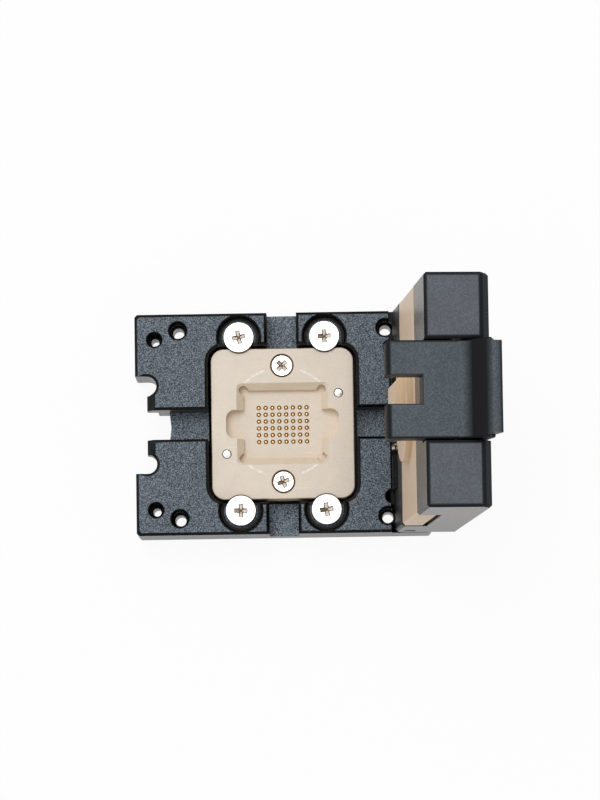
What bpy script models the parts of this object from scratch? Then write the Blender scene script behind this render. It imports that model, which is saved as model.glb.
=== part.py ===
"""Flip-top test socket for a 48-ball package, standing open as it is loaded.

A milled aluminium frame carries a PEEK pin body with its contact pins. A lid
turns on a hinge pin at the +X end, carries a sprung PEEK pressure plate on
its inner face, and closes with a two-armed latch that hooks under two noses
at the -X end of the frame. Metres, +Z up. The origin is the centre of the
underside, below the middle of the pin grid. The lid and all that it carries
are drawn in the lid's own axes: X is its thickness, outwards, and Z runs
from the hinge pin to its free end.
"""
import math

import bmesh
import bpy

# Frame
BASE_LENGTH = 0.0343
BASE_HEIGHT = 0.0070
BASE_CORNER = 0.00030
EDGE_BREAK = 0.00025
CHANNEL_WIDTH = 0.00345
CHANNEL_FLOOR = 0.0032
LEDGE_LEVEL = 0.0020
LEDGE_WIDTH = 0.0009
BODY_GAP = 0.0004

# Holes that fasten the socket to its board
BOARD_HOLE_INSET_X = 0.00505
BOARD_HOLE_INSET_Y = 0.00195
BOARD_HOLE_RADIUS = 0.00094
BOARD_HOLE_LOWER_RADIUS = 0.00065
BOARD_HOLE_STEP = 0.0036
DOWEL_HOLE_INSET_X = 0.0023
DOWEL_HOLE_INSET_Y = 0.00298
DOWEL_HOLE_RADIUS = 0.00078
DOWEL_HOLE_LOWER_RADIUS = 0.00048
HOLE_BREAK = 0.00015

# Pin body and its pocket
BODY_LENGTH = 0.0166
BODY_WIDTH = 0.0176
BODY_TOP = 0.0063
BODY_CORNER = 0.0015
PACKAGE_LENGTH = 0.0090
PACKAGE_WIDTH = 0.00785
PACKAGE_PLAY = 0.000075
POCKET_FLOOR = 0.00475
LEAD_IN = 0.00078
LEAD_IN_DEPTH = 0.00085
POCKET_RELIEF = 0.00050
FINGER_REACH = 0.0066
FINGER_WIDTH = 0.0034
FINGER_CORNER = 0.0010

# Contact pins
PIN_COLUMNS = 8
PIN_ROWS = 6
PIN_PITCH = 0.0008
PIN_RADIUS = 0.00018
PIN_HOLE_RADIUS = 0.00026
PIN_TIP_BELOW_FLOOR = 0.00003
CONTACT_PLATE_THICKNESS = 0.0012

# Fasteners of the pin body
CLAMP_SCREW_X = 0.0050
CLAMP_SCREW_OUTSIDE = 0.00135
CLAMP_HEAD_RADIUS = 0.00176
CLAMP_HEAD_THICKNESS = 0.0008
CLAMP_SHANK_RADIUS = 0.0007
CLAMP_RECESS_RADIUS = 0.00236
CLAMP_RECESS_FLOOR = 0.00585
CLAMP_RECESS_WALL = 0.00044
CLAMP_SHANK_END = 0.0012
CLAMP_TURNS = (12.0, 4.0, 8.0, 27.0)
PLATE_SCREW_INSIDE = 0.0020
PLATE_HEAD_RADIUS = 0.0012
PLATE_HEAD_DEPTH = 0.0007
PLATE_SHANK_RADIUS = 0.0006
PLATE_TURNS = (45.0, 20.0)
LOCATING_INSIDE = 0.00175
LOCATING_Y = 0.0035
LOCATING_RADIUS = 0.00050

# Latch noses at the frame's -X end
NOTCH_HALF_WIDTH = 0.0057
NOTCH_RELIEF_RADIUS = 0.00113
NOSE_TIP_INSET = 0.00135
NOSE_SLOPE_LENGTH = 0.0009
NOSE_SLOPE_DEPTH = 0.0012
NOSE_UNDERSIDE = 0.0040
CATCH_SLOT_INSET = 0.00385
CATCH_POCKET_INSET = 0.00255

# Hinge
HINGE_INSET = 0.00255
LID_GAP = 0.0001
LID_INNER_OFFSET = 0.00155
HINGE_STEP_REACH = 0.00205
HINGE_STEP_LEVEL = 0.0058
EAR_RADIUS = 0.0019
EAR_OUTER_Y = 0.0081
LEFT_EAR_INNER_Y = -0.0042
RIGHT_EAR_INNER_Y = 0.00185
HINGE_PIN_RADIUS = 0.0006
HINGE_PIN_INSET = 0.00015
OPEN_LEAN = math.radians(5.5)
SPRING_WIRE = 0.00034
SPRING_MEAN_RADIUS = 0.00176
SPRING_PITCH = 0.00049
SPRING_TURNS = 10
SPRING_END_GAP = 0.0005

# Lid
LID_THICKNESS = 0.0073
LID_HEEL = 0.0025
LID_END_CHAMFER = 0.00088
LID_END_CHAMFER_LENGTH = 0.0016
LID_EDGE = 0.00028
HINGE_NOTCH_DEPTH = 0.0027
HINGE_NOTCH_HALF_WIDTH = 0.00825

# Sprung pressure plate
PRESSURE_LENGTH = 0.0157
PRESSURE_THICKNESS = 0.00225
PRESSURE_TRAVEL = 0.00045
BOSS_RADIUS = 0.0063
BOSS_HEIGHT = 0.00075
NOSE_BLOCK_LENGTH = 0.0086
NOSE_BLOCK_WIDTH = 0.0063
NOSE_BLOCK_HEIGHT = 0.00105
NOSE_BLOCK_CHAMFER = 0.0007
GUIDE_ALONG = 0.0050
GUIDE_INSIDE = 0.00295
GUIDE_SHANK_RADIUS = 0.0007
GUIDE_HEAD_RADIUS = 0.0014
GUIDE_HEAD_THICKNESS = 0.0009
GUIDE_HEAD_FLOOR = 0.0017
PLATE_SPRING_RADIUS = 0.0011
PLATE_SPRING_WIRE = 0.0003
PLATE_SPRING_POCKET = 0.0016
PLATE_SPRING_TURNS = 4

# Latch
LATCH_WIDTH = 0.0108
LATCH_ARM_GAP = 0.0032
LATCH_ARM_THICKNESS = 0.00295
LATCH_PIVOT_T = 0.0021
LATCH_PIVOT_DEPTH = 0.0029
LATCH_PIN_RADIUS = 0.0006
LATCH_SLOT_PLAY = 0.0002
LATCH_SLOT_DEPTH = 0.0090
LATCH_FLOOR_DEPTH = 0.0037
LATCH_WEB_T = 0.0002
HOOK_DEPTH = 0.0008
HOOK_THICKNESS = 0.0010
TAB_REACH = 0.0029
TAB_LIP = 0.0009
TAB_ROOT = 0.0027
TAB_THICKNESS = 0.0015
TAB_SHOULDER = 0.0010
TAB_CORNER = 0.00035
LATCH_NECK = 0.0009
LATCH_TAIL_T = 0.0036
LATCH_TAIL_DEPTH = 0.0081
LATCH_TAIL_NECK = 0.0026
LATCH_SPRING_RADIUS = 0.0010
LATCH_SPRING_WIRE = 0.0003
LATCH_SPRING_TURNS = 5

# Clearances
SEAT = 0.0001
RUNNING = 0.00015
CROSS_LENGTH = 0.00165
CROSS_WIDTH = 0.00044
CROSS_DEPTH = 0.00042

# Sizes that follow from those above
TOP = BASE_HEIGHT
HALF_LENGTH = BASE_LENGTH / 2
CLAMP_SCREW_Y = BODY_WIDTH / 2 + CLAMP_SCREW_OUTSIDE
HALF_WIDTH = CLAMP_SCREW_Y + CLAMP_RECESS_RADIUS + CLAMP_RECESS_WALL
LID_WIDTH = 2 * HALF_WIDTH
PLATE_SCREW_Y = BODY_WIDTH / 2 - PLATE_SCREW_INSIDE
LOCATING_X = BODY_LENGTH / 2 - LOCATING_INSIDE
BOARD_HOLE_X = HALF_LENGTH - BOARD_HOLE_INSET_X
BOARD_HOLE_Y = HALF_WIDTH - BOARD_HOLE_INSET_Y
DOWEL_HOLE_X = HALF_LENGTH - DOWEL_HOLE_INSET_X
DOWEL_HOLE_Y = HALF_WIDTH - DOWEL_HOLE_INSET_Y
GUIDE_Y = LID_WIDTH / 2 - GUIDE_INSIDE
OVER = 0.001
HINGE_X = HALF_LENGTH - HINGE_INSET
HINGE_STEP_X = HINGE_X - HINGE_STEP_REACH
HINGE_Z = BASE_HEIGHT + LID_GAP + LID_INNER_OFFSET
LID_INNER = -LID_INNER_OFFSET
LID_OUTER = LID_THICKNESS - LID_INNER_OFFSET
PLATE_BACK = LID_INNER + PRESSURE_THICKNESS
SLOT_BOTTOM = PLATE_BACK + PRESSURE_TRAVEL + SEAT
NOSE_TIP_X = -HALF_LENGTH + NOSE_TIP_INSET
ARM_INNER_S = HINGE_X - NOSE_TIP_X + RUNNING
LID_REACH = ARM_INNER_S + LATCH_ARM_THICKNESS
LATCH_PIVOT_S = LID_REACH - LATCH_PIVOT_DEPTH
LATCH_SLOT_S = LID_REACH - LATCH_SLOT_DEPTH
LATCH_FLOOR_S = LID_REACH - LATCH_FLOOR_DEPTH
LATCH_TAIL_S = LID_REACH - LATCH_TAIL_DEPTH
HOOK_LEDGE_T = NOSE_UNDERSIDE - SEAT - HINGE_Z


def circle(radius, x=0.0, y=0.0, count=24):
    """Points of a circle, as a polygon."""
    turn = math.tau / count
    return [(x + radius * math.cos(k * turn), y + radius * math.sin(k * turn)) for k in range(count)]


def arc(x, y, radius, start, end, steps):
    """Points along an arc, its angles in degrees."""
    points = []
    for k in range(steps + 1):
        angle = math.radians(start + (end - start) * k / steps)
        points.append((x + radius * math.cos(angle), y + radius * math.sin(angle)))
    return points


def rounded_rectangle(half_x, half_y, radius, steps=4, x=0.0, y=0.0):
    """A rectangle with round corners, counter-clockwise from its +X +Y corner."""
    points = []
    corners = ((1, 1, 0), (-1, 1, 90), (-1, -1, 180), (1, -1, 270))
    for side_x, side_y, start in corners:
        centre_x = x + side_x * (half_x - radius)
        centre_y = y + side_y * (half_y - radius)
        points += arc(centre_x, centre_y, radius, start, start + 90, steps)
    return points


def rectangle(half_x, half_y, x=0.0, y=0.0):
    """A plain rectangle about a centre."""
    return [(x + half_x, y + half_y), (x - half_x, y + half_y), (x - half_x, y - half_y), (x + half_x, y - half_y)]


def cut_corner_rectangle(half_x, half_y, cut):
    """A rectangle with 45 degree corner cuts."""
    points = []
    for side_x, side_y in ((1, 1), (-1, 1), (-1, -1), (1, -1)):
        near = (side_x * half_x, side_y * (half_y - cut))
        far = (side_x * (half_x - cut), side_y * half_y)
        points += [near, far] if side_x * side_y > 0 else [far, near]
    return points


def stand(point, level, axis):
    """A point of a flat outline, stood at a level along an axis."""
    u, v = point
    if axis == "Z":
        return (u, v, level)
    if axis == "Y":
        return (u, level, v)
    return (level, u, v)


def loft(mesh, sections, axis="Z"):
    """Skin a stack of outlines, each with its level, into one closed solid."""
    rings = []
    for outline, level in sections:
        rings.append([mesh.verts.new(stand(point, level, axis)) for point in outline])
    faces = [mesh.faces.new(rings[0]), mesh.faces.new(rings[-1])]
    count = len(rings[0])
    for lower, upper in zip(rings, rings[1:]):
        for k in range(count):
            after = (k + 1) % count
            faces.append(mesh.faces.new((lower[k], lower[after], upper[after], upper[k])))
    bmesh.ops.recalc_face_normals(mesh, faces=faces)
    return faces


def material(name, colour, roughness, metallic):
    """A Principled material, made once."""
    found = bpy.data.materials.get(name)
    if found:
        return found
    made = bpy.data.materials.new(name)
    made.use_nodes = True
    shader = made.node_tree.nodes["Principled BSDF"]
    shader.inputs["Base Color"].default_value = (*colour, 1.0)
    shader.inputs["Roughness"].default_value = roughness
    shader.inputs["Metallic"].default_value = metallic
    return made


def anodised():
    return material("black_anodised", (0.045, 0.053, 0.060), 0.45, 0.6)


def lid_anodised():
    return material("lid_anodised", (0.055, 0.058, 0.064), 0.4, 0.6)


def peek():
    return material("peek", (0.68, 0.60, 0.50), 0.5, 0.0)


def nickel():
    return material("nickel_plate", (0.85, 0.84, 0.82), 0.15, 1.0)


def spring_steel():
    return material("spring_steel", (0.62, 0.60, 0.57), 0.3, 1.0)


def add_object(name, mesh, finish, parent=None, offset=(0.0, 0.0, 0.0)):
    """Turn a bmesh into a named object with its material."""
    data = bpy.data.meshes.new(name)
    mesh.to_mesh(data)
    mesh.free()
    made = bpy.data.objects.new(name, data)
    bpy.context.scene.collection.objects.link(made)
    made.location = offset
    made.parent = parent
    if finish:
        data.materials.append(finish())
    return made


def shade_round(target, angle=35.0):
    """Smooth shading that keeps the hard edges."""
    target.data.shade_smooth()
    target.data.set_sharp_from_angle(angle=math.radians(angle))


def combine(target, name, lofts, operation="DIFFERENCE"):
    """Cut lofts out of an object, or join them to it, with a guide object."""
    mesh = bmesh.new()
    for sections, axis in lofts:
        loft(mesh, sections, axis)
    guide = add_object(name, mesh, None, target.parent, target.location)
    guide.hide_render = True
    guide.display_type = "WIRE"
    change = target.modifiers.new(name, "BOOLEAN")
    change.object = guide
    change.operation = operation
    change.solver = "EXACT"


def break_edges(target, width):
    """Chamfer the hard edges of a plain solid."""
    bevel = target.modifiers.new("edge_break", "BEVEL")
    bevel.width = width
    bevel.segments = 1
    bevel.limit_method = "ANGLE"
    bevel.angle_limit = math.radians(40)


def milled(outline, floor, width=EDGE_BREAK):
    """Sections of a cut whose edge is broken where it leaves the frame's top face."""
    return [(outline(0.0), floor), (outline(0.0), TOP - width), (outline(width + OVER), TOP + OVER)]


def quadrants(x, y):
    """The four mirrored places of one point."""
    return [(-x, y), (x, y), (-x, -y), (x, -y)]


def base_frame():
    """Milled frame: ledge for the pin body, cross channels, noses and hinge ears."""
    mesh = bmesh.new()
    plan = cut_corner_rectangle
    loft(mesh, [
        (plan(HALF_LENGTH - EDGE_BREAK, HALF_WIDTH - EDGE_BREAK, BASE_CORNER), 0.0),
        (plan(HALF_LENGTH, HALF_WIDTH, BASE_CORNER), EDGE_BREAK),
        (plan(HALF_LENGTH, HALF_WIDTH, BASE_CORNER), TOP - EDGE_BREAK),
        (plan(HALF_LENGTH - EDGE_BREAK, HALF_WIDTH - EDGE_BREAK, BASE_CORNER), TOP),
    ])
    frame = add_object("base_frame", mesh, anodised)
    cut_body_seat(frame)
    cut_channels(frame)
    cut_screw_holes(frame)
    cut_latch_noses(frame)
    add_hinge_ears(frame)
    return frame


def cut_body_seat(frame):
    """The opening that holds the pin body, with the ledge it rests on."""
    half_x = BODY_LENGTH / 2 + BODY_GAP
    half_y = BODY_WIDTH / 2 + BODY_GAP
    corner = BODY_CORNER + BODY_GAP

    def seat(grow):
        return rounded_rectangle(half_x + grow, half_y + grow, corner + grow)

    foot_x = BODY_LENGTH / 2 - LEDGE_WIDTH + SEAT
    foot_y = BODY_WIDTH / 2 - LEDGE_WIDTH + SEAT
    foot = rounded_rectangle(foot_x, foot_y, BODY_CORNER)
    sections = [(foot, -OVER), (foot, LEDGE_LEVEL)] + milled(seat, LEDGE_LEVEL)
    combine(frame, "cut_body_seat", [(sections, "Z")])


def cut_channels(frame):
    """Four straight channels, one through the middle of each side."""
    half = CHANNEL_WIDTH / 2
    inner_x = BODY_LENGTH / 2
    inner_y = BODY_WIDTH / 2
    run_x = (HALF_LENGTH + OVER - inner_x) / 2
    run_y = (HALF_WIDTH + OVER - inner_y) / 2
    lofts = []
    for side in (-1, 1):
        along_x = side * (inner_x + run_x)
        along_y = side * (inner_y + run_y)

        def lengthwise(grow, middle=along_x):
            return rectangle(run_x, half + grow, middle, 0.0)

        def crosswise(grow, middle=along_y):
            return rectangle(half + grow, run_y, 0.0, middle)

        lofts.append((milled(lengthwise, CHANNEL_FLOOR), "Z"))
        lofts.append((milled(crosswise, CHANNEL_FLOOR), "Z"))
    combine(frame, "cut_channels", lofts)


def stepped_hole(x, y, lower_radius, step, radius, floor=-OVER, count=24, width=EDGE_BREAK):
    """A hole with a wider upper bore and a broken rim."""
    def rim(grow):
        return circle(radius + grow, x, y, count)

    lower = circle(lower_radius, x, y, count)
    return [(lower, floor), (lower, step)] + milled(rim, step, width)


def cut_screw_holes(frame):
    """Clamp screw recesses, board screw holes and dowel holes."""
    bore = CLAMP_SHANK_RADIUS + SEAT
    depth = CLAMP_SHANK_END - SEAT
    recesses = []
    for x, y in quadrants(CLAMP_SCREW_X, CLAMP_SCREW_Y):
        recesses.append((stepped_hole(x, y, bore, CLAMP_RECESS_FLOOR, CLAMP_RECESS_RADIUS, depth), "Z"))
    combine(frame, "cut_clamp_recesses", recesses)
    holes = []
    for x, y in quadrants(BOARD_HOLE_X, BOARD_HOLE_Y):
        holes.append((stepped_hole(x, y, BOARD_HOLE_LOWER_RADIUS, BOARD_HOLE_STEP,
                                   BOARD_HOLE_RADIUS, count=20, width=HOLE_BREAK), "Z"))
    for y in (-DOWEL_HOLE_Y, DOWEL_HOLE_Y):
        holes.append((stepped_hole(-DOWEL_HOLE_X, y, DOWEL_HOLE_LOWER_RADIUS, BOARD_HOLE_STEP,
                                   DOWEL_HOLE_RADIUS, count=16, width=HOLE_BREAK), "Z"))
    combine(frame, "cut_board_holes", holes)


def cut_latch_noses(frame):
    """The notch at -X: two drilled reliefs, two noses and the slot between them."""
    slot_half = CHANNEL_WIDTH / 2
    outside = -HALF_LENGTH - OVER
    relief_y = NOTCH_HALF_WIDTH - NOTCH_RELIEF_RADIUS
    slot_end = -HALF_LENGTH + CATCH_SLOT_INSET
    upper = arc(NOSE_TIP_X, relief_y, NOTCH_RELIEF_RADIUS, 90, -90, 12)
    lower = [(x, -y) for x, y in reversed(upper)]
    sagitta = 0.0002
    middle = [(slot_end, slot_half), (slot_end + sagitta, 0.0), (slot_end, -slot_half)]
    outline = [(outside, NOTCH_HALF_WIDTH)] + upper + [(NOSE_TIP_X, slot_half)] + middle
    outline += [(NOSE_TIP_X, -slot_half)] + lower + [(outside, -NOTCH_HALF_WIDTH)]
    combine(frame, "cut_latch_notch", [([(outline, -OVER), (outline, TOP + OVER)], "Z")])

    reliefs = []
    for side in (-1, 1):
        small = circle(NOTCH_RELIEF_RADIUS, NOSE_TIP_X, side * relief_y)
        wide = circle(NOTCH_RELIEF_RADIUS + EDGE_BREAK + OVER, NOSE_TIP_X, side * relief_y)
        reliefs.append(([(small, TOP - EDGE_BREAK), (wide, TOP + OVER)], "Z"))
    combine(frame, "cut_relief_rims", reliefs)

    run = OVER * NOSE_SLOPE_LENGTH / NOSE_SLOPE_DEPTH
    wedge = [
        (NOSE_TIP_X + NOSE_SLOPE_LENGTH + run, TOP + OVER),
        (NOSE_TIP_X - run, TOP - NOSE_SLOPE_DEPTH - OVER),
        (outside, TOP - NOSE_SLOPE_DEPTH - OVER),
        (outside, TOP + OVER),
    ]
    reach = relief_y - NOTCH_RELIEF_RADIUS + SEAT
    combine(frame, "cut_nose_slopes", [([(wedge, -reach), (wedge, reach)], "Y")])

    pocket_end = -HALF_LENGTH + CATCH_POCKET_INSET
    pocket_half = relief_y - NOTCH_RELIEF_RADIUS / 2
    pocket = rectangle((pocket_end - outside) / 2, pocket_half, (pocket_end + outside) / 2, 0.0)
    combine(frame, "cut_catch_pocket", [([(pocket, -OVER), (pocket, NOSE_UNDERSIDE)], "Z")])


def add_hinge_ears(frame):
    """The step for the lid's legs, two round ears for the pin, and their bore."""
    middle = (HINGE_STEP_X + HALF_LENGTH + OVER) / 2
    half = (HALF_LENGTH + OVER - HINGE_STEP_X) / 2
    step = rectangle(half, HALF_WIDTH + OVER, middle, 0.0)
    combine(frame, "cut_hinge_step", [([(step, HINGE_STEP_LEVEL), (step, TOP + OVER)], "Z")])

    relief_radius = LID_HEEL - RUNNING - LID_INNER_OFFSET
    corner_y = EAR_OUTER_Y + relief_radius * 0.8
    corners = []
    for side in (-1, 1):
        outline = circle(relief_radius, HINGE_STEP_X + SEAT, side * corner_y, 16)
        corners.append(([(outline, HINGE_STEP_LEVEL), (outline, TOP + OVER)], "Z"))
    combine(frame, "cut_step_corners", corners)

    root = HINGE_STEP_LEVEL - OVER
    ear = [(HINGE_X - EAR_RADIUS, root), (HINGE_X + EAR_RADIUS, root)]
    ear += arc(HINGE_X, HINGE_Z, EAR_RADIUS, 0, 180, 12)
    ears = [
        ([(ear, -EAR_OUTER_Y), (ear, LEFT_EAR_INNER_Y)], "Y"),
        ([(ear, RIGHT_EAR_INNER_Y), (ear, EAR_OUTER_Y)], "Y"),
    ]
    combine(frame, "join_hinge_ears", ears, "UNION")
    bore = circle(HINGE_PIN_RADIUS + SEAT, HINGE_X, HINGE_Z, 16)
    combine(frame, "cut_ear_bore", [([(bore, -EAR_OUTER_Y - OVER), (bore, EAR_OUTER_Y + OVER)], "Y")])


def pin_places():
    """Centres of the contact pins, row by row."""
    places = []
    for row in range(PIN_ROWS):
        for column in range(PIN_COLUMNS):
            x = (column - (PIN_COLUMNS - 1) / 2) * PIN_PITCH
            y = (row - (PIN_ROWS - 1) / 2) * PIN_PITCH
            places.append((x, y))
    return places


def body_outline(inset, top_corner=BODY_CORNER):
    """The pin body's plan, drawn in by an amount all round."""
    return rounded_rectangle(BODY_LENGTH / 2 - inset, BODY_WIDTH / 2 - inset, top_corner)


def pin_body():
    """PEEK pin body: flange on the ledge, package pocket and pin holes."""
    foot_bottom = CONTACT_PLATE_THICKNESS + SEAT
    flange_bottom = LEDGE_LEVEL + SEAT
    mesh = bmesh.new()
    loft(mesh, [
        (body_outline(LEDGE_WIDTH), foot_bottom),
        (body_outline(LEDGE_WIDTH), flange_bottom),
        (body_outline(0.0), flange_bottom),
        (body_outline(0.0), BODY_TOP - EDGE_BREAK / 2),
        (body_outline(EDGE_BREAK / 2), BODY_TOP),
    ])
    body = add_object("pin_body", mesh, peek)
    cut_pocket(body)

    scallops = []
    for x, y in quadrants(CLAMP_SCREW_X, CLAMP_SCREW_Y):
        outline = circle(CLAMP_HEAD_RADIUS + RUNNING, x, y)
        scallops.append(([(outline, CLAMP_RECESS_FLOOR), (outline, BODY_TOP + OVER)], "Z"))
    combine(body, "cut_clamp_scallops", scallops)

    fixings = []
    for side in (-1, 1):
        bore = circle(PLATE_SHANK_RADIUS + SEAT, 0.0, side * PLATE_SCREW_Y)
        mouth = circle(PLATE_HEAD_RADIUS + RUNNING, 0.0, side * PLATE_SCREW_Y)
        seat = BODY_TOP - PLATE_HEAD_DEPTH - SEAT
        land = BODY_TOP - RUNNING
        fixings.append(([(bore, 0.0), (bore, seat), (mouth, land), (mouth, BODY_TOP + OVER)], "Z"))
        hole = circle(LOCATING_RADIUS + SEAT / 2, side * LOCATING_X, side * LOCATING_Y)
        fixings.append(([(hole, 0.0), (hole, BODY_TOP + OVER)], "Z"))
    combine(body, "cut_fixings", fixings)

    holes = []
    for x, y in pin_places():
        outline = circle(PIN_HOLE_RADIUS, x, y, 6)
        holes.append(([(outline, 0.0), (outline, BODY_TOP)], "Z"))
    combine(body, "cut_pin_holes", holes)
    return body


def cut_pocket(body):
    """Package pocket with a sloped lead-in, corner reliefs and finger notches."""
    half_x = PACKAGE_LENGTH / 2 + PACKAGE_PLAY
    half_y = PACKAGE_WIDTH / 2 + PACKAGE_PLAY
    slope = LEAD_IN / LEAD_IN_DEPTH
    mouth = LEAD_IN + OVER * slope
    corner = 0.00035
    wall = rounded_rectangle(half_x, half_y, corner)
    rim = rounded_rectangle(half_x + mouth, half_y + mouth, corner + mouth / 2)
    pocket = [(wall, POCKET_FLOOR), (wall, BODY_TOP - LEAD_IN_DEPTH), (rim, BODY_TOP + OVER)]
    combine(body, "cut_pocket", [(pocket, "Z")])

    fingers = rounded_rectangle(FINGER_REACH, FINGER_WIDTH / 2, FINGER_CORNER)
    combine(body, "cut_finger_notches", [([(fingers, POCKET_FLOOR), (fingers, BODY_TOP + OVER)], "Z")])

    reliefs = []
    for x, y in quadrants(half_x + 0.00010, half_y + 0.00010):
        outline = circle(POCKET_RELIEF, x, y, 16)
        reliefs.append(([(outline, POCKET_FLOOR), (outline, BODY_TOP - LEAD_IN_DEPTH / 3)], "Z"))
    combine(body, "cut_corner_reliefs", reliefs)


def contact_plate():
    """Lower PEEK plate with the contact pins held in it."""
    mesh = bmesh.new()
    outline = body_outline(LEDGE_WIDTH)
    loft(mesh, [(outline, 0.0), (outline, CONTACT_PLATE_THICKNESS)])
    plate = add_object("contact_plate", mesh, peek)
    holes = []
    floor = CONTACT_PLATE_THICKNESS / 4
    for side in (-1, 1):
        thread = circle(PLATE_SHANK_RADIUS + SEAT, 0.0, side * PLATE_SCREW_Y, 16)
        dowel = circle(LOCATING_RADIUS + SEAT / 2, side * LOCATING_X, side * LOCATING_Y, 16)
        holes.append(([(thread, floor), (thread, TOP)], "Z"))
        holes.append(([(dowel, floor), (dowel, TOP)], "Z"))
    combine(plate, "cut_plate_holes", holes)
    pins = []
    tip = POCKET_FLOOR - PIN_TIP_BELOW_FLOOR
    for x, y in pin_places():
        shaft = circle(PIN_RADIUS, x, y, 6)
        pins.append(([(shaft, CONTACT_PLATE_THICKNESS / 2), (shaft, tip)], "Z"))
    combine(plate, "join_contact_pins", pins, "UNION")
    return plate


def cross_outline(length, width, turn=0.0, x=0.0, y=0.0):
    """A plus sign, turned about its centre."""
    half = width / 2
    reach = length / 2
    points = []
    for quarter in range(4):
        angle = math.radians(90 * quarter + turn)
        for u, v in ((reach, -half), (reach, half), (half, half)):
            px = x + u * math.cos(angle) - v * math.sin(angle)
            py = y + u * math.sin(angle) + v * math.cos(angle)
            points.append((px, py))
    return points


def cross_recess(target, size, turn, x, y, top, axis="Z"):
    """The tapered cross of a screw head."""
    deep = cross_outline(size * CROSS_LENGTH * 0.45, size * CROSS_WIDTH * 0.5, turn, x, y)
    wide = cross_outline(size * CROSS_LENGTH, size * CROSS_WIDTH, turn, x, y)
    above = top + OVER
    floor = top - size * CROSS_DEPTH
    combine(target, "cut_" + target.name, [([(deep, floor), (wide, top), (wide, above)], axis)])


def clamp_screw(number, x, y, turn):
    """Wide flat-headed cross screw whose rim holds the pin body down."""
    mesh = bmesh.new()
    seat = CLAMP_RECESS_FLOOR + SEAT
    top = seat + CLAMP_HEAD_THICKNESS
    rim = SEAT
    shank = circle(CLAMP_SHANK_RADIUS, x, y)
    head = circle(CLAMP_HEAD_RADIUS, x, y)
    crown = circle(CLAMP_HEAD_RADIUS - rim, x, y)
    loft(mesh, [(shank, CLAMP_SHANK_END), (shank, seat), (head, seat), (head, top - rim), (crown, top)])
    screw = add_object("clamp_screw_%d" % number, mesh, nickel)
    cross_recess(screw, 1.0, turn, x, y, top)
    return screw


def plate_screw(number, y, turn):
    """Small countersunk screw that pulls the two PEEK plates together."""
    mesh = bmesh.new()
    top = BODY_TOP - SEAT
    land = top - SEAT
    shank = circle(PLATE_SHANK_RADIUS, 0.0, y)
    head = circle(PLATE_HEAD_RADIUS, 0.0, y)
    end = CONTACT_PLATE_THICKNESS / 4 + SEAT
    loft(mesh, [(shank, end), (shank, BODY_TOP - PLATE_HEAD_DEPTH), (head, land), (head, top)])
    screw = add_object("plate_screw_%d" % number, mesh, nickel)
    cross_recess(screw, 0.8, turn, 0.0, y, top)
    return screw


def locating_pin(number, x, y):
    """Dowel that lines the two PEEK plates up."""
    mesh = bmesh.new()
    top = BODY_TOP - SEAT
    shaft = circle(LOCATING_RADIUS, x, y, 20)
    nose = circle(LOCATING_RADIUS * 0.75, x, y, 20)
    loft(mesh, [(shaft, CONTACT_PLATE_THICKNESS / 4 + SEAT), (shaft, top - SEAT), (nose, top)])
    pin = add_object("locating_pin_%d" % number, mesh, nickel)
    shade_round(pin)
    return pin


def wire(name, points, diameter, finish, parent=None, offset=(0.0, 0.0, 0.0)):
    """A bent wire along a run of points."""
    curve = bpy.data.curves.new(name, "CURVE")
    curve.dimensions = "3D"
    curve.bevel_depth = diameter / 2
    curve.bevel_resolution = 1
    curve.use_fill_caps = True
    run = curve.splines.new("POLY")
    run.points.add(len(points) - 1)
    for place, point in zip(run.points, points):
        place.co = (*point, 1.0)
    curve.materials.append(finish())
    made = bpy.data.objects.new(name, curve)
    bpy.context.scene.collection.objects.link(made)
    made.parent = parent
    made.location = offset
    return made


def coil_points(radius, rise, turns, steps=8, start=0.0):
    """A helix about +Z from level zero, as (u, v, level)."""
    points = []
    total = int(turns * steps)
    for k in range(total + 1):
        angle = start + math.tau * k / steps
        points.append((radius * math.cos(angle), radius * math.sin(angle), rise * k / total))
    return points


def torsion_spring():
    """Hinge spring round the pin, one leg on the frame and one on the lid."""
    turns = SPRING_TURNS - 0.5
    length = SPRING_PITCH * turns
    first_y = LEFT_EAR_INNER_Y + SPRING_END_GAP + SPRING_WIRE / 2
    points = []
    floor = HINGE_STEP_LEVEL + SEAT + SPRING_WIRE / 2
    points.append((HINGE_X - SPRING_MEAN_RADIUS, first_y, floor))
    for u, v, rise in coil_points(SPRING_MEAN_RADIUS, length, turns, 10, math.pi):
        points.append((HINGE_X + u, first_y + rise, HINGE_Z - v))
    last = points[-1]
    lid_wall = HINGE_Z + (HINGE_NOTCH_DEPTH - SEAT) * math.cos(OPEN_LEAN) - SPRING_WIRE
    points.append((last[0] + SPRING_WIRE, last[1], lid_wall))
    return wire("torsion_spring", points, SPRING_WIRE, spring_steel)


def hinge_pin():
    """Straight pin through the lid's legs and the frame's ears."""
    mesh = bmesh.new()
    half = LID_WIDTH / 2 - HINGE_PIN_INSET
    shaft = circle(HINGE_PIN_RADIUS, HINGE_X, HINGE_Z, 16)
    nose = circle(HINGE_PIN_RADIUS - SEAT, HINGE_X, HINGE_Z, 16)
    loft(mesh, [(nose, -half), (shaft, SEAT - half), (shaft, half - SEAT), (nose, half)], "Y")
    pin = add_object("hinge_pin", mesh, nickel)
    shade_round(pin)
    return pin


def empty(name, location, parent=None, lean=0.0):
    """A joint's axis, which carries the pieces that move on it."""
    made = bpy.data.objects.new(name, None)
    bpy.context.scene.collection.objects.link(made)
    made.location = location
    made.rotation_euler = (0.0, lean, 0.0)
    made.parent = parent
    return made


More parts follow.
